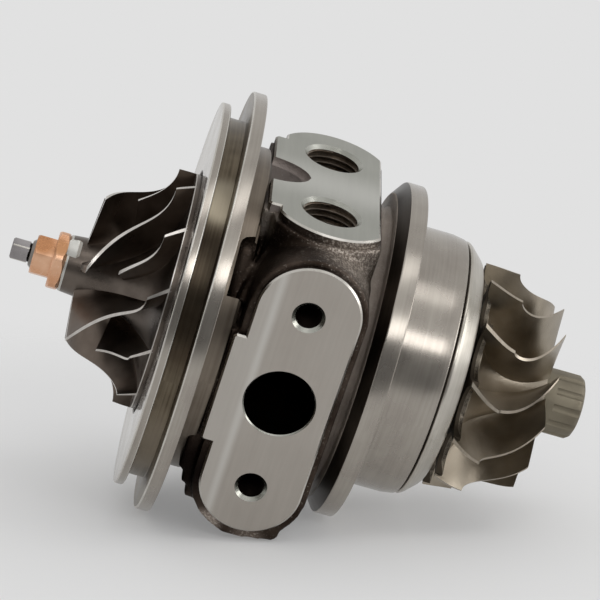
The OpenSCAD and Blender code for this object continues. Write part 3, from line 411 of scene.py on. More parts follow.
def joined(name, parts, materials):
    """One object from several, in place."""
    work = bmesh.new()
    for part in parts:
        work.from_mesh(part.data)
    mesh = bpy.data.meshes.new(name)
    work.to_mesh(mesh)
    work.free()
    made = placed(name, mesh, materials)
    for part in parts:
        bpy.data.objects.remove(part)
    return made


def merged(name, parts):
    """One object from several, keeping each part's materials."""
    materials = []
    for part in parts:
        for material in part.data.materials:
            if material not in materials:
                materials.append(material)
    for part in parts:
        table = [materials.index(m) for m in part.data.materials]
        which = [table[p.material_index] for p in part.data.polygons]
        part.data.polygons.foreach_set("material_index", which)
    return joined(name, parts, materials)


def cut(made, cutters):
    """Cuts the cutters out of the piece and drops them; cut faces have the cutter's material."""
    for cutter in cutters:
        step = made.modifiers.new("cut", "BOOLEAN")
        step.operation = "DIFFERENCE"
        step.solver = "EXACT"
        step.material_mode = "TRANSFER"
        step.object = cutter
    apply_modifiers(made)
    for cutter in cutters:
        bpy.data.objects.remove(cutter)


def drill(name, place, axis, steps, materials):
    """Cutter for a hole: steps of (depth below the mouth, radius, material), from above the mouth to the tip."""
    rows = [(steps[0][0], 0.0, steps[0][2])] + steps + [(steps[-1][0], 0.0, steps[-1][2])]
    made = turned(name, rows, materials, edge=0, turns=96)
    aim = Vector((1, 0, 0)).rotation_difference(Vector(axis)).to_matrix().to_4x4()
    made.data.transform(Matrix.Translation(Vector(place) * MM) @ aim)
    return made


def block(x0, x1, y0, y1, z0, z1):
    """Box solid as points and faces."""
    return ([(x, y, z) for x in (x0, x1) for y in (y0, y1) for z in (z0, z1)],
            [(0, 1, 3, 2), (4, 6, 7, 5), (0, 4, 5, 1), (2, 3, 7, 6), (0, 2, 6, 4), (1, 5, 7, 3)])


def arc(cx, cy, r, start, end, steps):
    """Points on an arc, angles in degrees."""
    turns = [math.radians(start + (end - start) * k / steps) for k in range(steps + 1)]
    return [(cx + r * math.cos(a), cy + r * math.sin(a)) for a in turns]


def stadium(half_l, r, half_w):
    """Outline with rounded ends, long side along its second axis, clipped to half_w."""
    lift = math.degrees(math.acos(min(1.0, half_w / r)))
    return (arc(0, half_l - r, r, lift, 180 - lift, 40)
            + arc(0, r - half_l, r, 180 + lift, 360 - lift, 40))


def with_tongue(outline, half_w, reach, half_tongue, corner=0.5):
    """Adds the tongue that runs towards the compressor flange to the -X side of an outline."""
    half = len(outline) // 2
    tongue = [(-half_w, half_tongue), (-reach + corner, half_tongue), (-reach, half_tongue - corner),
              (-reach, corner - half_tongue), (-reach + corner, -half_tongue), (-half_w, -half_tongue)]
    return outline[:half] + tongue + outline[half:]


# Bearing housing

# The outline's own plane is laid on the drain face (its second axis along Z) and on the boss face.
DRAIN_PLANE = Matrix.Translation((PORT_X, -DRAIN_Y, 0)) @ Matrix(
    ((1, 0, 0, 0), (0, 0, -1, 0), (0, 1, 0, 0), (0, 0, 0, 1)))
BOSS_PLANE = Matrix.Translation((PORT_X, 0, BOSS_Z))
TONGUE_REACH = PORT_X - X_RELIEF
# Depth of the milled plates, sunk into the casting, and the grain of the run-together casting.
PLATE_T, CAST_VOXEL = 5.0, 0.5


def prism(outline, depth, matrix, sink):
    """Straight prism from an outline, as points and faces, its top sunk below the plane."""
    count = len(outline)
    points = [matrix @ Vector((x, y, z)) for z in (-sink, -depth) for x, y in outline]
    faces = [tuple(range(count)), tuple(range(2 * count - 1, count - 1, -1))]
    faces += [(i, i + count, (i + 1) % count + count, (i + 1) % count) for i in range(count)]
    return points, faces


def casting():
    """Cast body: the rough blocks run together, their corners filled and rounded as in a mould."""
    # Waist between the two flanges, flaring into each of them.
    body = [(5.5, 20, 0), (5.5, 30.5, 0), (7.0, 30.5, 0), (7.8, 27.4, 0), (8.8, 26.1, 0), (10.2, BODY_R, 0),
            (PORT_X + 6, BODY_R, 0), (PORT_X + 9.5, NECK_R - 0.3, 0), (31.0, NECK_R - 0.3, 0), (31.0, 20, 0)]
    solids = [turned("core", body, [CAST_IRON], edge=0, turns=160)]
    # Collar round the drain flange, set a little low, and the foot below it.
    low_end = DRAIN_PLANE @ Matrix.Translation((0, -0.6, 0))
    foot = [(FOOT_HALF_W + 1.7, -22.0), (FOOT_HALF_W + 1.7, 2.0 - FOOT_Z), (FOOT_HALF_W + 1.0, 1.1 - FOOT_Z),
            (1.0, -FOOT_Z), (-3.0, -FOOT_Z), (-3.0, -22.0)]
    shapes = [
        prism(stadium(BOLT_Z + DRAIN_END_R + 1.6, DRAIN_END_R + 1.3, DRAIN_END_R + 1.3), 19.0, low_end, PAD_T - 0.3),
        prism(foot, 11.0, DRAIN_PLANE, PAD_T - 0.3),
        prism(stadium(BOSS_HALF_L + 0.95, BOSS_END_R + 0.95, BOSS_HALF_W + 0.76), 18.0, BOSS_PLANE, PAD_T),
        block(X_RELIEF - 0.6, PORT_X, -DRAIN_Y + PAD_T, -20, -DRAIN_TONGUE, DRAIN_TONGUE),
        block(X_RELIEF - 0.6, PORT_X, -BOSS_TONGUE, BOSS_TONGUE, 20, BOSS_Z - PAD_T)]
    # Three steps of the rib beside the drain tongue.
    for k in range(3):
        shapes.append(block(X_LEDGE - 1.5 + 1.3 * k, X_LEDGE + 3.5 + 1.3 * k, -DRAIN_Y + 3.0, -DRAIN_Y + 15.0,
                            -DRAIN_TONGUE - 9.2 - 2.8 * k, -DRAIN_TONGUE + 1))
    # Slanting wall at the ledge pocket.
    slant = (Matrix.Translation((POCKET_X + POCKET_R, 0, 0))
             @ Matrix.Rotation(-math.radians((POCKET_FROM + POCKET_TO) / 2), 4, "X")
             @ Matrix.Rotation(math.radians(WALL_SLANT), 4, "Y"))
    points, faces = block(-WALL_T / 2 - 0.2, WALL_T / 2 + 0.2, -WALL_R - 0.3, -20, -WALL_L / 2, WALL_L / 2)
    shapes.append(([slant @ Vector(p) for p in points], faces))
    for k, (points, faces) in enumerate(shapes):
        solids.append(piece("cast_block_%d" % k, points, faces, [CAST_IRON]))
    solids.append(drill("inlet_boss", (PORT_X, INLET_Y - 1, 0), (0, -1, 0),
                        [(0, INLET_BOSS_R, 0), (15, INLET_BOSS_R, 0)], [CAST_IRON]))
    solids.append(bent_bar("pocket_ridge", POCKET_X - 0.7, 1.6, POCKET_FROM + 6, POCKET_TO - 1.5,
                           LEDGE_R - 4.2, LEDGE_R - 1.4, 1.0))
    made = joined("housing_casting", solids, [CAST_IRON])
    fuse = made.modifiers.new("fuse", "REMESH")
    fuse.mode = "VOXEL"
    fuse.voxel_size = CAST_VOXEL * MM
    fuse.use_smooth_shade = True
    fill = made.modifiers.new("fill", "SMOOTH")
    fill.factor = 0.5
    fill.iterations = 6
    return apply_modifiers(made)


def bent_bar(name, x, bar_r, start, end, start_r, end_r, blunt, steps=18, sides=24, cap=4):
    """Round bar bent round the shaft between two turns, its upper end round and its lower end round or flat."""
    rows = []
    for k in range(-cap, steps + cap + 1):
        inside = min(max(k, 0), steps)
        past = (k - inside) / cap
        share = inside / steps
        reach = bar_r * math.sqrt(1 - past * past)
        turn = mix(start, end, share) + math.degrees(past * bar_r / end_r) * (blunt if past < 0 else 1.0)
        centre_r = mix(start_r, end_r, share)
        rows.append([around(x + reach * math.cos(2 * math.pi * s / sides),
                            centre_r + reach * math.sin(2 * math.pi * s / sides), turn) for s in range(sides)])
    points = [p for row in rows for p in row]
    faces = [(i * sides + s, i * sides + (s + 1) % sides, (i + 1) * sides + (s + 1) % sides, (i + 1) * sides + s)
             for i in range(len(rows) - 1) for s in range(sides)]
    return piece(name, points, faces, [CAST_IRON])


# Holes wider than this show their threads; narrower ones are painted near black as shade.
WIDE_HOLE = 4.0
# Tapped holes: mouth, axis, crest radius, root radius, pitch, depth, countersink radius.
TAPPED = [
    ((PORT_X, -PORT_Y, BOSS_Z), (0, 0, 1), 5.35, 6.0, 1.25, 12.5, 6.1),
    ((PORT_X, PORT_Y, BOSS_Z), (0, 0, 1), 5.35, 6.0, 1.25, 12.5, 6.1),
    ((PORT_X, -DRAIN_Y, BOLT_Z), (0, -1, 0), 2.5, 2.95, 1.0, 11.0, 3.2),
    ((PORT_X, -DRAIN_Y, -BOLT_Z), (0, -1, 0), 2.5, 2.95, 1.0, 11.0, 3.2),
    ((PORT_X, INLET_Y, 0), (0, 1, 0), 4.45, 4.95, 1.0, 11.0, 5.15)]


def hole_cutter(index):
    """Cutter of one tapped hole: countersink, threaded bore and drill point."""
    place, axis, crest, root, _, depth, sink = TAPPED[index]
    down = [-a for a in axis]
    steps = [(-1.0, sink + 0.9, 0), (sink - crest, crest, 1), (sink - crest + 0.05, root, 1),
             (depth, root, 1), (depth + crest * 0.55, 0.3, 1)]
    wall = THREAD_IRON if crest > WIDE_HOLE else BORE_IRON
    return drill("hole_%d" % index, place, down, steps, [SINK_IRON, wall])


def leaf_cutter():
    """Leaf-shaped scallop that opens towards the compressor flange."""
    steps = 20
    rows = [(0.0, 0.0, 0)]
    rows += [(SCALLOP_L * k / steps, SCALLOP_R * (1 - (k / steps) ** 3) ** 0.6, 0) for k in range(steps + 1)]
    made = turned("leaf", rows, [HOLLOW_IRON], edge=0, turns=96)
    shallow = Matrix.Diagonal((1.0, 1.0, 0.6, 1.0))
    made.data.transform(Matrix.Translation(Vector((RIM_T + 0.6, 0, BOSS_Z)) * MM) @ shallow)
    return made


def bore_cutter():
    """Cutter of the oil drain."""
    steps = [(-1.0, DRAIN_R + 0.25, 0), (0.05, DRAIN_R + 0.25, 0), (0.3, DRAIN_R, 1), (20.85, DRAIN_R, 1)]
    return drill("bore", (PORT_X, -DRAIN_Y, 0), (0, 1, 0), steps, [SINK_IRON, BORE_IRON])


def thread_tree():
    """Node tree that winds a thread ridge, with its sizes as named inputs."""
    tree = bpy.data.node_groups.new("thread_ridge", "GeometryNodeTree")
    face = tree.interface
    face.new_socket("Geometry", in_out="OUTPUT", socket_type="NodeSocketGeometry")
    for name in ("Root radius", "Ridge", "Pitch", "Turns"):
        face.new_socket(name, in_out="INPUT", socket_type="NodeSocketFloat")
    face.new_socket("Finish", in_out="INPUT", socket_type="NodeSocketMaterial")
    size = add(tree, "NodeGroupInput").outputs
    length = calc(tree, "MULTIPLY", size["Pitch"], size["Turns"])
    spiral = add(tree, "GeometryNodeCurveSpiral", {"Resolution": 48, "Rotations": size["Turns"],
                                                   "Start Radius": size["Root radius"],
                                                   "End Radius": size["Root radius"], "Height": length}).outputs[0]
    upright = add(tree, "GeometryNodeSetCurveNormal", {"Curve": spiral}, mode="Z_UP").outputs[0]
    section = add(tree, "GeometryNodeCurvePrimitiveCircle", {"Resolution": 3, "Radius": size["Ridge"]},
                  mode="RADIUS").outputs[0]
    ridge = add(tree, "GeometryNodeCurveToMesh", {"Curve": upright, "Profile Curve": section,
                                                  "Fill Caps": True}).outputs[0]
    real = add(tree, "GeometryNodeRealizeInstances", {"Geometry": ridge}).outputs[0]
    finish = add(tree, "GeometryNodeSetMaterial", {"Geometry": real, "Material": size["Finish"]}).outputs[0]
    add(tree, "NodeGroupOutput", {"Geometry": finish})
    return tree


def threads():
    """Ridges of every tapped hole as one mesh."""
    tree = thread_tree()
    keys = {item.name: item.identifier for item in tree.interface.items_tree if item.in_out == "INPUT"}
    parts = []
    for k, (place, axis, crest, root, pitch, depth, sink) in enumerate(TAPPED):
        made = placed("ridge_%d" % k, bpy.data.meshes.new("ridge_%d" % k))
        step = made.modifiers.new("thread", "NODES")
        step.node_group = tree
        # The ridge starts below the countersink; its section is a triangle with its base in the root.
        start = sink - crest + 0.25
        height = root - crest
        values = {"Root radius": (root - height * 0.33) * MM, "Ridge": height * 0.72 * MM, "Pitch": pitch * MM,
                  "Turns": (depth - start) / pitch, "Finish": THREAD_IRON if crest > WIDE_HOLE else BORE_IRON}
        for name, value in values.items():
            step[keys[name]] = value
        apply_modifiers(made)
        aim = Vector((0, 0, 1)).rotation_difference(Vector([-a for a in axis])).to_matrix().to_4x4()
        shift = Vector(place) * MM - Vector(axis) * start * MM
        made.data.transform(Matrix.Translation(shift) @ aim)
        parts.append(made)
    made = merged("housing_threads", parts)
    tidy(made, 25)
    return made


def housing_pieces():
    """All pieces that stand for the bearing housing."""
    body = casting()
    cut(body, [hole_cutter(k) for k in range(len(TAPPED))] + [bore_cutter(), leaf_cutter()])
    body.data.set_sharp_from_angle(angle=math.radians(50))
    drain = plate("housing_drain_face",
                  with_tongue(stadium(BOLT_Z + DRAIN_END_R, DRAIN_END_R, DRAIN_END_R), DRAIN_END_R, TONGUE_REACH,
                              DRAIN_TONGUE), PLATE_T, DRAIN_PLANE, [MILLED_DRAIN, CAST_IRON, EDGE_IRON])
    cut(drain, [hole_cutter(2), hole_cutter(3), bore_cutter()])
    boss = plate("housing_port_face",
                 with_tongue(stadium(BOSS_HALF_L, BOSS_END_R, BOSS_HALF_W), BOSS_HALF_W, TONGUE_REACH, BOSS_TONGUE),
                 PLATE_T, BOSS_PLANE, [MILLED_BOSS, CAST_IRON, EDGE_IRON, HOLLOW_IRON])
    # The flanks of its tongue are rough.
    for flank in boss.data.polygons:
        if flank.material_index == 1 and abs(flank.normal.y) > 0.9 and flank.center.x < (PORT_X - BOSS_HALF_W) * MM:
            flank.material_index = 3
    cut(boss, [hole_cutter(0), hole_cutter(1), leaf_cutter()])
    inlet = drill("housing_inlet_face", (PORT_X, INLET_Y, 0), (0, -1, 0),
                  [(0, INLET_BOSS_R - 0.6, 0), (0.4, INLET_BOSS_R - 0.2, 0), (3.0, INLET_BOSS_R - 0.2, 0)],
                  [MILLED_DRAIN])
    cut(inlet, [hole_cutter(4)])
    for made in (drain, boss, inlet):
        tidy(made, 30)
    front = turned("housing_compressor_flange", [
        (X_RECESS, INSERT_R, 2), (X_RECESS, RECESS_R, 2), (X_FRONT, RECESS_R, 5), (X_FRONT, FRONT_RIM_R, 0, 3),
        (X_GROOVE, FRONT_RIM_R, 1, 3), (X_GROOVE, GROOVE_R, 1), (0.0, GROOVE_R, 1), (0.0, RIM_R, 0, 3),
        (RIM_T, RIM_R, 2), (RIM_T, LEDGE_R, 4), (X_LEDGE, LEDGE_R, 2), (X_LEDGE, RELIEF_R, 2),
        (X_RELIEF, RELIEF_R, 2), (X_RELIEF, 24.0, 2), (2.4, 24.0, 2), (2.4, INSERT_R, 2)],
        [TURNED_IRON, GROOVE_IRON, SHADE_IRON, EDGE_IRON, LEDGE_IRON, FACE_IRON], edge=0.3)
    cut(front, [bent_bar("pocket", POCKET_X, POCKET_R, POCKET_FROM, POCKET_TO, LEDGE_R, LEDGE_R, 0.0)])
    tidy(front, 30)
    back = turned("housing_turbine_flange", [
        (29.5, 12.0, 1), (29.5, NECK_R, 2), (FLANGE_X - 1, NECK_R, 2), (FLANGE_X, NECK_R + 0.6, 2),
        (FLANGE_X, FLANGE_R - 3.0, 3, 2), (X_EDGE, FLANGE_R - 0.2, 0), (X_EDGE + 0.3, FLANGE_R, 0),
        (X_FLANGE, FLANGE_R, 0), (X_FLANGE, DRUM_R + 0.5, 0), (X_FLANGE + 0.5, DRUM_R, 0),
        (X_DRUM - DRUM_TAPER, DRUM_R, 0),
        (X_DRUM, DRUM_R - 0.4, 1), (X_DRUM, HUB_BOSS_R, 1), (X_HUB, HUB_BOSS_R - 0.4, 1), (X_HUB, 8.4, 1),
        (46.8, 8.4, 1), (46.8, 12.0, 1)],
        [TURNED_IRON, SHADE_IRON, NECK_IRON, CONE_IRON], edge=0.3)
    return [body, drain, boss, inlet, front, back, threads()]


def heat_shield():
    """Pressed ring with a rounded shoulder."""
    return turned("heat_shield_ring", [
        (X_DRUM, SHIELD_R - 1.6, 0), (X_DRUM, SHIELD_R - 0.9, 0), (X_DRUM + 0.5, SHIELD_R, 0),
        (X_DRUM + 0.9, SHIELD_R, 0), (X_DRUM + 1.5, SHIELD_R - 0.4, 0), (SHIELD_TOP - 0.7, SHIELD_FACE_R + 0.9, 0),
        (SHIELD_TOP - 0.2, SHIELD_FACE_R + 0.4, 0), (SHIELD_TOP, SHIELD_FACE_R - 0.3, 0),
        (SHIELD_TOP, SHIELD_HOLE_R, 0), (SHIELD_TOP - 0.9, SHIELD_HOLE_R, 0),
        (SHIELD_TOP - 0.9, SHIELD_FACE_R - 0.7, 0), (SHIELD_TOP - 1.5, SHIELD_FACE_R - 0.1, 0),
        (X_DRUM + 1.2, SHIELD_R - 1.6, 0)], [SHIELD_STEEL], edge=0.5)


# Wheels and shaft

# Root thickness of a blade over its tip thickness, and the share of its height that has a fillet.
ROOT_SHARE, FILLET_SHARE = 1.6, 0.2
# Points along a blade and up it, and steps of a hub's curve.
BLADE_ROWS, BLADE_COLS, HUB_STEPS = 40, 16, 40


def fillet(t):
    """1 at the blade's root, falling to 0 above its fillet."""
    return max(0.0, 1 - t / FILLET_SHARE) ** 2


def blade(name, grid, thickness, materials):
    """Blade skin from grid(s, t) = (x, r, turn); material 1 on the tip and the end edges."""
    rows, cols = BLADE_ROWS, BLADE_COLS
    points = []
    for side in (1, -1):
        for i in range(rows):
            for j in range(cols):
                s, t = i / (rows - 1), j / (cols - 1)
                x, r, turn = grid(s, t)
                points.append(around(x, r, turn + side * math.degrees(thickness(s, t) / 2 / r)))
    total = rows * cols

    def at(side, i, j):
        return side * total + i * cols + j

    faces, which = [], []
    for i in range(rows - 1):
        for j in range(cols - 1):
            faces.append((at(0, i, j), at(0, i + 1, j), at(0, i + 1, j + 1), at(0, i, j + 1)))
            faces.append((at(1, i, j), at(1, i, j + 1), at(1, i + 1, j + 1), at(1, i + 1, j)))
            which += [0, 0]
        for j, tag in ((0, 0), (cols - 1, 1)):
            faces.append((at(0, i, j), at(1, i, j), at(1, i + 1, j), at(0, i + 1, j)))
            which.append(tag)
    for j in range(cols - 1):
        for i in (0, rows - 1):
            faces.append((at(0, i, j), at(1, i, j), at(1, i, j + 1), at(0, i, j + 1)))
            which.append(1)
    return piece(name, points, faces, materials, which, 40)


COMP_R, COMP_EYE_R, COMP_HUB_R, COMP_L, COMP_TIP_H = 24.2, 16.6, 6.0, 17.0, 3.5
COMP_EYE_X, COMP_BACK, COMP_NOSE_X = -23.3, -5.0, -26.7
COMP_BLADES, COMP_WRAP, COMP_SWEEP, COMP_RAKE, COMP_SPLIT = 6, 40, 15, 7, 0.33
COMP_TURN, COMP_BLADE_T = 25.5, 0.56
COMP_WRAP_POWER, COMP_SWEEP_POWER, COMP_FILLET, COMP_BORE_R = 4.2, 2.5, 1.4, 3.02
# How much thicker a blade is at the tip of its leading edge.
COMP_SWELL = 1.6
# Balancing cut in the nose: its turn, its radius and how far outside the hub its centre lies.
BALANCE_TURN, BALANCE_R, BALANCE_OUT = 62, 4.2, 3.0


def comp_place(s, t, sink=0.5):
    """Axial place and radius in the compressor passage, s along it and t from hub to shroud."""
    up, on = math.sin(math.pi / 2 * s), math.cos(math.pi / 2 * s)
    x = mix(COMP_EYE_X + COMP_L * up + sink * up, COMP_EYE_X + 1 + (COMP_L - COMP_TIP_H - 1) * up, t)
    r = mix(COMP_R - (COMP_R - COMP_HUB_R) * on - sink * on, COMP_R - (COMP_R - COMP_EYE_R) * on, t)
    return x, r


def compressor_wheel():
    """Hub, six full blades and six splitters."""
    rows = [(COMP_NOSE_X, COMP_BORE_R, 2), (COMP_NOSE_X, COMP_HUB_R - 0.6, 2),
            (COMP_NOSE_X + 0.3, COMP_HUB_R - 0.3, 2), (COMP_NOSE_X + 0.7, COMP_HUB_R - 0.25, 0)]
    for k in range(HUB_STEPS + 1):
        x, r = comp_place(k / HUB_STEPS, 0, 0)
        rows.append((x, r, 1 if k == HUB_STEPS else 0))
    rows += [(x + 0.2, COMP_R, 0), (COMP_BACK, COMP_R, 0), (COMP_BACK, 12.0, 0), (COMP_BACK + 0.3, 8.0, 0),
             (COMP_BACK + 0.3, COMP_BORE_R, 0)]
    hub = turned("hub", rows, [HUB_ALUMINIUM, TIP_ALUMINIUM, NOSE_ALUMINIUM], edge=0)
    notch = drill("notch", around(COMP_NOSE_X, COMP_HUB_R + BALANCE_OUT, BALANCE_TURN), (1, 0, 0),
                  [(-1.0, BALANCE_R, 0), (2.0, BALANCE_R, 0), (2.6, BALANCE_R - 0.5, 0)], [NOSE_ALUMINIUM])
    cut(hub, [notch])
    tidy(hub)
    parts = [hub]
    pitch = 360 / COMP_BLADES
    for k in range(2 * COMP_BLADES):
        first = COMP_SPLIT if k % 2 else 0.0
        turn = COMP_TURN + k * pitch / 2

        def grid(s, t, first=first, turn=turn):
            way = mix(first, 1, s)
            x, r = comp_place(way, t)
            wrap = COMP_WRAP * (1 - (1 - way) ** COMP_WRAP_POWER) + COMP_SWEEP * way ** COMP_SWEEP_POWER
            return x, r, turn + wrap + COMP_RAKE * (1 - t) * way * way

        def thickness(s, t, first=first):
            swell = 1 + COMP_SWELL * t * (1 - mix(first, 1, s)) ** 3
            return COMP_BLADE_T * mix(ROOT_SHARE, 1, t) * swell + COMP_FILLET * (1 - s * s) * fillet(t)

        parts.append(blade("blade_%d" % k, grid, thickness, [WHEEL_ALUMINIUM, TIP_ALUMINIUM]))
    return merged("compressor_wheel_cast", parts)


TURB_R, TURB_EYE_R, TURB_HUB_R, TURB_L, TURB_TIP_H = 23.2, 19.2, 6.5, 18.2, 6.7
X_TURB, X_TURB_HUB, X_NOSE, TURB_DISC_T = 54.8, 53.9, 73.0, 1.5
TURB_BLADES, TURB_TURN, TURB_BLADE_T, TURB_CUT, SCOOP_R = 12, 23.6, 0.6, 1.1, 5.2
NOSE_R, NOSE_L, NOSE_SLOT_R, NOSE_SLOTS, NOSE_TURN = 6.6, 8.0, 0.9, 12, 16.5
# Turn of the blades along the wheel: its lean, its curl at the outlet, and the fillet at their roots.
TURB_LEAN, TURB_CURL, TURB_FILLET = -34, 58, 1.8


def turb_place(s, t, sink=0.4):
    """Axial place and radius in the turbine passage, s along it and t from hub to shroud."""
    up, on = math.sin(math.pi / 2 * s), math.cos(math.pi / 2 * s)
    x = mix(X_TURB + 0.5 + (TURB_L - 0.5) * (1 - on) - sink * on,
            X_TURB + TURB_TIP_H + (TURB_L - TURB_TIP_H - TURB_CUT) * (1 - on), t)
    r = mix(TURB_R - (TURB_R - TURB_HUB_R) * up - sink * up, TURB_R - (TURB_R - TURB_EYE_R) * up, t)
    return x, r


def notch_limit(turn, centre, cut_r, count, first, most):
    """Radius left of a round bar with round notches cut in its edge."""
    gap = 360 / count
    off = math.radians((turn - first + gap / 2) % gap - gap / 2)
    inside = cut_r * cut_r - (centre * math.sin(off)) ** 2
    if inside <= 0:
        return most
    return min(most, centre * math.cos(off) - math.sqrt(inside))


def turbine_wheel():
    """Scalloped disc and hub, twelve curved blades and the slotted nose."""
    rows = [(X_TURB_HUB, 0.0, 1), (X_TURB_HUB, 8.0, 1), (X_TURB, 11.5, 1), (X_TURB, TURB_R - 0.5, 1),
            (X_TURB + TURB_DISC_T, TURB_R - 0.5, 0)]
    for k in range(HUB_STEPS + 1):
        x, r = turb_place(k / HUB_STEPS, 0, 0)
        if r < TURB_R - 2:
            rows.append((x, r, 0))
    rows += [(X_NOSE + 0.6, TURB_HUB_R, 0), (X_NOSE + 0.6, 0.0, 0)]
    gap = 360 / TURB_BLADES

    def scoops(turn):
        return notch_limit(turn, TURB_R - 0.8, SCOOP_R, TURB_BLADES, TURB_TURN + gap / 2, TURB_R)

    parts = [turned("hub", rows, [NICKEL_ALLOY, NICKEL_SHADE], edge=0, turns=360, limit=scoops, crease=40)]

    def slots(turn):
        return notch_limit(turn, NOSE_R + NOSE_SLOT_R * 0.5, NOSE_SLOT_R, NOSE_SLOTS, NOSE_TURN, NOSE_R)

    end = X_NOSE + NOSE_L
    parts.append(turned("nose_root", [(X_NOSE - 0.5, 0.0, 0), (X_NOSE - 0.5, TURB_HUB_R, 0),
                                      (X_NOSE + 1.6, NOSE_R, 0), (X_NOSE + 1.9, NOSE_R, 0), (X_NOSE + 1.9, 0.0, 0)],
                        [NICKEL_NOSE], edge=0, turns=288))
    parts.append(turned("nose", [(X_NOSE + 1.8, 0.0, 0), (X_NOSE + 1.8, NOSE_R, 0), (end - 1.1, NOSE_R, 0),
                                 (end - 0.35, NOSE_R - 0.5, 0), (end, NOSE_R - 1.3, 0), (end, 0.0, 0)],
                        [NICKEL_NOSE], edge=0, turns=576, limit=slots))

    def angle(x):
        u = (x - X_TURB) / TURB_L
        return TURB_LEAN * u + TURB_CURL * u ** 3

    for k in range(TURB_BLADES):
        turn = TURB_TURN + k * gap

        def grid(s, t, turn=turn):
            x, r = turb_place(s, t)
            return x, r, turn + angle(x)

        def thickness(s, t):
            return TURB_BLADE_T * mix(ROOT_SHARE, 1, t) + TURB_FILLET * s * fillet(t)

        parts.append(blade("blade_%d" % k, grid, thickness, [NICKEL_ALLOY, NICKEL_EDGE]))
    return merged("turbine_wheel_cast", parts)


TIP_X, NUT_X, TIP_HALF_W, TIP_CORNER_R = -37.4, -32.9, 1.68, 2.23
STUB_R, JOURNAL_R, WAIST_R, SEAL_R, SEAL_ROOT_R = 3.0, 4.0, 3.6, 8.0, 6.8


def rotor_shaft():
    """Ground shaft with its seal boss and grooves, and the squared tip in front of the nut."""
    # Neck beside the nut painted near black as shade, the stub, two journals with a waist between them, oil slinger,
    # seal boss with two ring grooves.
    body = turned("shaft_body", [
        (NUT_X - 1.1, 0.0, 1), (NUT_X - 1.1, 1.9, 1), (NUT_X - 0.7, 1.9, 0), (NUT_X - 0.6, 2.5, 0),
        (NUT_X, STUB_R, 0), (11.3, STUB_R, 0),
        (11.3, JOURNAL_R, 0), (24.2, JOURNAL_R, 0), (24.8, WAIST_R, 0), (31.0, WAIST_R, 0),
        (31.6, JOURNAL_R, 0), (43.8, JOURNAL_R, 0), (44.6, 10.5, 0), (45.4, 10.5, 0),
        (45.7, SEAL_R, 0), (47.2, SEAL_R, 0), (47.2, SEAL_ROOT_R, 0), (48.8, SEAL_ROOT_R, 0),
        (48.8, SEAL_R, 0), (49.4, SEAL_R, 0), (49.4, SEAL_ROOT_R, 0), (51.0, SEAL_ROOT_R, 0),
        (51.0, SEAL_R, 0), (X_TURB_HUB, SEAL_R, 0), (X_TURB_HUB, 0.0, 0)],
        [SHAFT_STEEL, BORE_IRON], edge=0, turns=96)

    def square(turn):
        a = math.radians(turn)
        return min(TIP_CORNER_R, TIP_HALF_W / max(abs(math.cos(a)), abs(math.sin(a))))

    tip = turned("shaft_tip", [(TIP_X, 0.0, 0), (TIP_X, 1.85, 0), (TIP_X + 0.25, TIP_CORNER_R, 0),
                               (NUT_X - 1.0, TIP_CORNER_R, 0), (NUT_X - 1.0, 0.0, 0)],
                 [TIP_STEEL, EDGE_IRON], edge=0, turns=180, limit=square, crease=25)
    for face in tip.data.polygons:
        if math.hypot(face.center.y, face.center.z) > (TIP_CORNER_R - 0.05) * MM:
            face.material_index = 1
    return merged("rotor_shaft_ground", [body, tip])


# Assembly

for made in housing_pieces():
    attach(made, "housing")
    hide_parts("bearing_housing")
shield = heat_shield()
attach(shield, "housing")
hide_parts("heat_shield")
for made, node, slot_name in ((compressor_wheel(), "compressor_wheel", "wheel_aluminium"),
                              (turbine_wheel(), "turbine_wheel", "nickel_alloy"),
                              (rotor_shaft(), "rotor_shaft", "shaft_steel")):
    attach(made, "rotor")
    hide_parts(node)

FINISH = {
    "lock_nut": COPPER, "seal_insert": INSERT_IRON, "insert_o_ring": RUBBER,
    "insert_clip": SPRING_STEEL, "oil_deflector": INSERT_IRON, "compressor_piston_ring": SPRING_STEEL,
    "turbine_piston_ring_inner": SPRING_STEEL, "turbine_piston_ring_outer": SPRING_STEEL, "thrust_bearing": BRONZE,
    "thrust_dowels": SHAFT_STEEL, "bearing_rings_compressor": SPRING_STEEL, "bearing_rings_turbine": SPRING_STEEL,
    "seal_sleeve": SHAFT_STEEL, "thrust_sleeve": SHAFT_STEEL, "thrust_ring": SHAFT_STEEL,
    "journal_bearing_compressor": BRONZE, "journal_bearing_turbine": BRONZE}
for name, material in FINISH.items():
    for slot_place in nodes[name].material_slots:
        slot_place.material = material


# Stage: floor, light and camera

FLOOR_UP = Vector((-0.2297, 0.252, 0.940)).normalized()
FLOOR_LEVEL = -42.7
MIDDLE = Vector((0.02, 0, 0))
# Half width of the table, and how far from the middle it begins to fade and is gone, in metres.
TABLE_HALF, FADE_FROM, FADE_TO = 0.3, 0.1, 0.2
BACKDROP, FLOOR_TONE, CARD_TONE = "#e1e1e1", "#e8e8e8", "#868686"
# Share of the table that looks lit from below, as in a light tent: as seen, and as mirrored in the metal.
FLOOR_GLOW, MIRROR_GLOW = 0.25, 0.31
# Soft boxes: name, direction, distance, width and height in metres, and power in watts.
SOFT_BOXES = (
    ("soft_box_top", (0.06, -0.12, 0.99), 0.75, 0.45, 0.2, 0.45),
    ("soft_box_front", (0.14, -0.72, 0.68), 0.8, 0.5, 0.16, 0.9),
    ("soft_box_right", (0.9, -0.1, 0.42), 0.8, 0.5, 0.35, 1.5))
# Dark card: direction, distance, half width and half height in metres.
CARD_WAY, CARD_AWAY, CARD_HALF_W, CARD_HALF_H = Vector((-0.05, -0.93, 0.3)).normalized(), 0.8, 0.8, 0.3
# Camera fitted to the photograph: focal length and sensor width in mm, and place.
FOCAL, SENSOR, CAMERA_PLACE = 149.06, 36.0, Vector((-29.366, -445.614, 216.991)) * MM


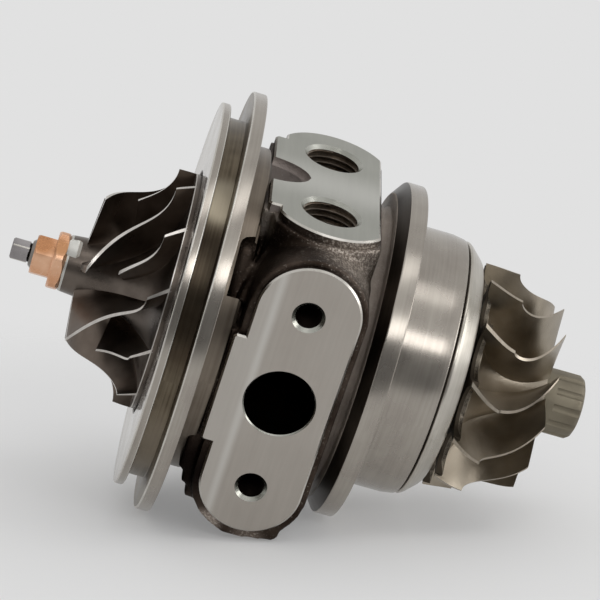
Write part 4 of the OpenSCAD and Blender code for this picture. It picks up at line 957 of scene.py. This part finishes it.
def sheet(name, half_w, half_h, matrix, material):
    """Flat rectangle for the stage."""
    mesh = bpy.data.meshes.new(name)
    mesh.from_pydata([(-half_w, -half_h, 0), (half_w, -half_h, 0), (half_w, half_h, 0), (-half_w, half_h, 0)], [],
                     [(0, 1, 2, 3)])
    mesh.transform(matrix)
    return placed(name, mesh, [material])


def floor():
    """Pale table top that fades out round the object; seen only from above."""
    made, tree, out = new_material("pale_table")
    place = add(tree, "ShaderNodeTexCoord").outputs["Object"]
    centre = FLOOR_UP * (FLOOR_LEVEL * MM)
    away = add(tree, "ShaderNodeVectorMath", {0: place, 1: centre + MIDDLE}, operation="DISTANCE").outputs["Value"]
    under = add(tree, "ShaderNodeNewGeometry").outputs["Backfacing"]
    clear = calc(tree, "MAXIMUM", ramp(tree, away, FADE_FROM, FADE_TO, 0.0, 1.0, "SMOOTHSTEP"), under)
    paint = add(tree, "ShaderNodeBsdfDiffuse", {"Color": linear(FLOOR_TONE)}).outputs[0]
    glow = add(tree, "ShaderNodeEmission", {"Color": linear(FLOOR_TONE), "Strength": 1.0}).outputs[0]
    rays = add(tree, "ShaderNodeLightPath").outputs
    seen = calc(tree, "MAXIMUM", rays["Is Camera Ray"], rays["Is Transmission Ray"])
    mirrored = calc(tree, "MULTIPLY", rays["Is Glossy Ray"], MIRROR_GLOW)
    share = calc(tree, "MULTIPLY_ADD", seen, FLOOR_GLOW, mirrored)
    lit = add(tree, "ShaderNodeMixShader", {0: share, 1: paint, 2: glow}).outputs[0]
    none = add(tree, "ShaderNodeBsdfTransparent").outputs[0]
    both = add(tree, "ShaderNodeMixShader", {0: clear, 1: lit, 2: none}).outputs[0]
    tree.links.new(both, out.inputs[0])
    aim = Vector((0, 0, 1)).rotation_difference(FLOOR_UP).to_matrix().to_4x4()
    table = sheet("table", TABLE_HALF, TABLE_HALF, Matrix.Translation(centre) @ aim, made)


def studio():
    """Pale surroundings and three soft boxes: overhead, above the camera and on the right."""
    world = bpy.data.worlds.new("studio")
    world.use_nodes = True
    tree = world.node_tree
    tree.nodes.clear()
    pale = add(tree, "ShaderNodeBackground", {"Color": linear(BACKDROP), "Strength": 1.0}).outputs[0]
    add(tree, "ShaderNodeOutputWorld", {"Surface": pale})
    bpy.context.scene.world = world
    for name, way, distance, width, height, power in SOFT_BOXES:
        light = bpy.data.lights.new(name, "AREA")
        light.shape = "RECTANGLE"
        light.size, light.size_y, light.energy = width, height, power
        lamp = placed(name, light)
        back = Vector(way).normalized()
        lamp.location = MIDDLE + back * distance
        lamp.rotation_euler = back.to_track_quat("Z", "Y").to_euler()
        lamp.visible_camera = False


def dark_card():
    """Dark card round the camera, below the front soft box: the machined faces mirror it."""
    made, tree, out = new_material("dark_card")
    paint = add(tree, "ShaderNodeBsdfDiffuse", {"Color": linear(CARD_TONE)}).outputs[0]
    tree.links.new(paint, out.inputs[0])
    aim = CARD_WAY.to_track_quat("Z", "Y").to_matrix().to_4x4()
    card = sheet("dark_card", CARD_HALF_W, CARD_HALF_H, Matrix.Translation(CARD_WAY * CARD_AWAY) @ aim, made)
    card.visible_camera = False


def camera():
    """Camera at the photograph's viewing angle."""
    lens = bpy.data.cameras.new("camera")
    lens.lens, lens.sensor_width = FOCAL, SENSOR
    right = Vector((0.9565206, 0.03028288, 0.29008842))
    down = Vector((0.27380267, -0.43594576, -0.85731172))
    ahead = Vector((0.10050095, 0.89946331, -0.42528264))
    turn = Matrix((right, -down, -ahead)).transposed().to_4x4()
    lens.clip_start, lens.clip_end = 0.01, 20
    made = placed("camera", lens)
    made.matrix_world = Matrix.Translation(CAMERA_PLACE) @ turn
    bpy.context.scene.camera = made


floor()
studio()
dark_card()
camera()
bpy.context.scene.view_settings.view_transform = "Standard"
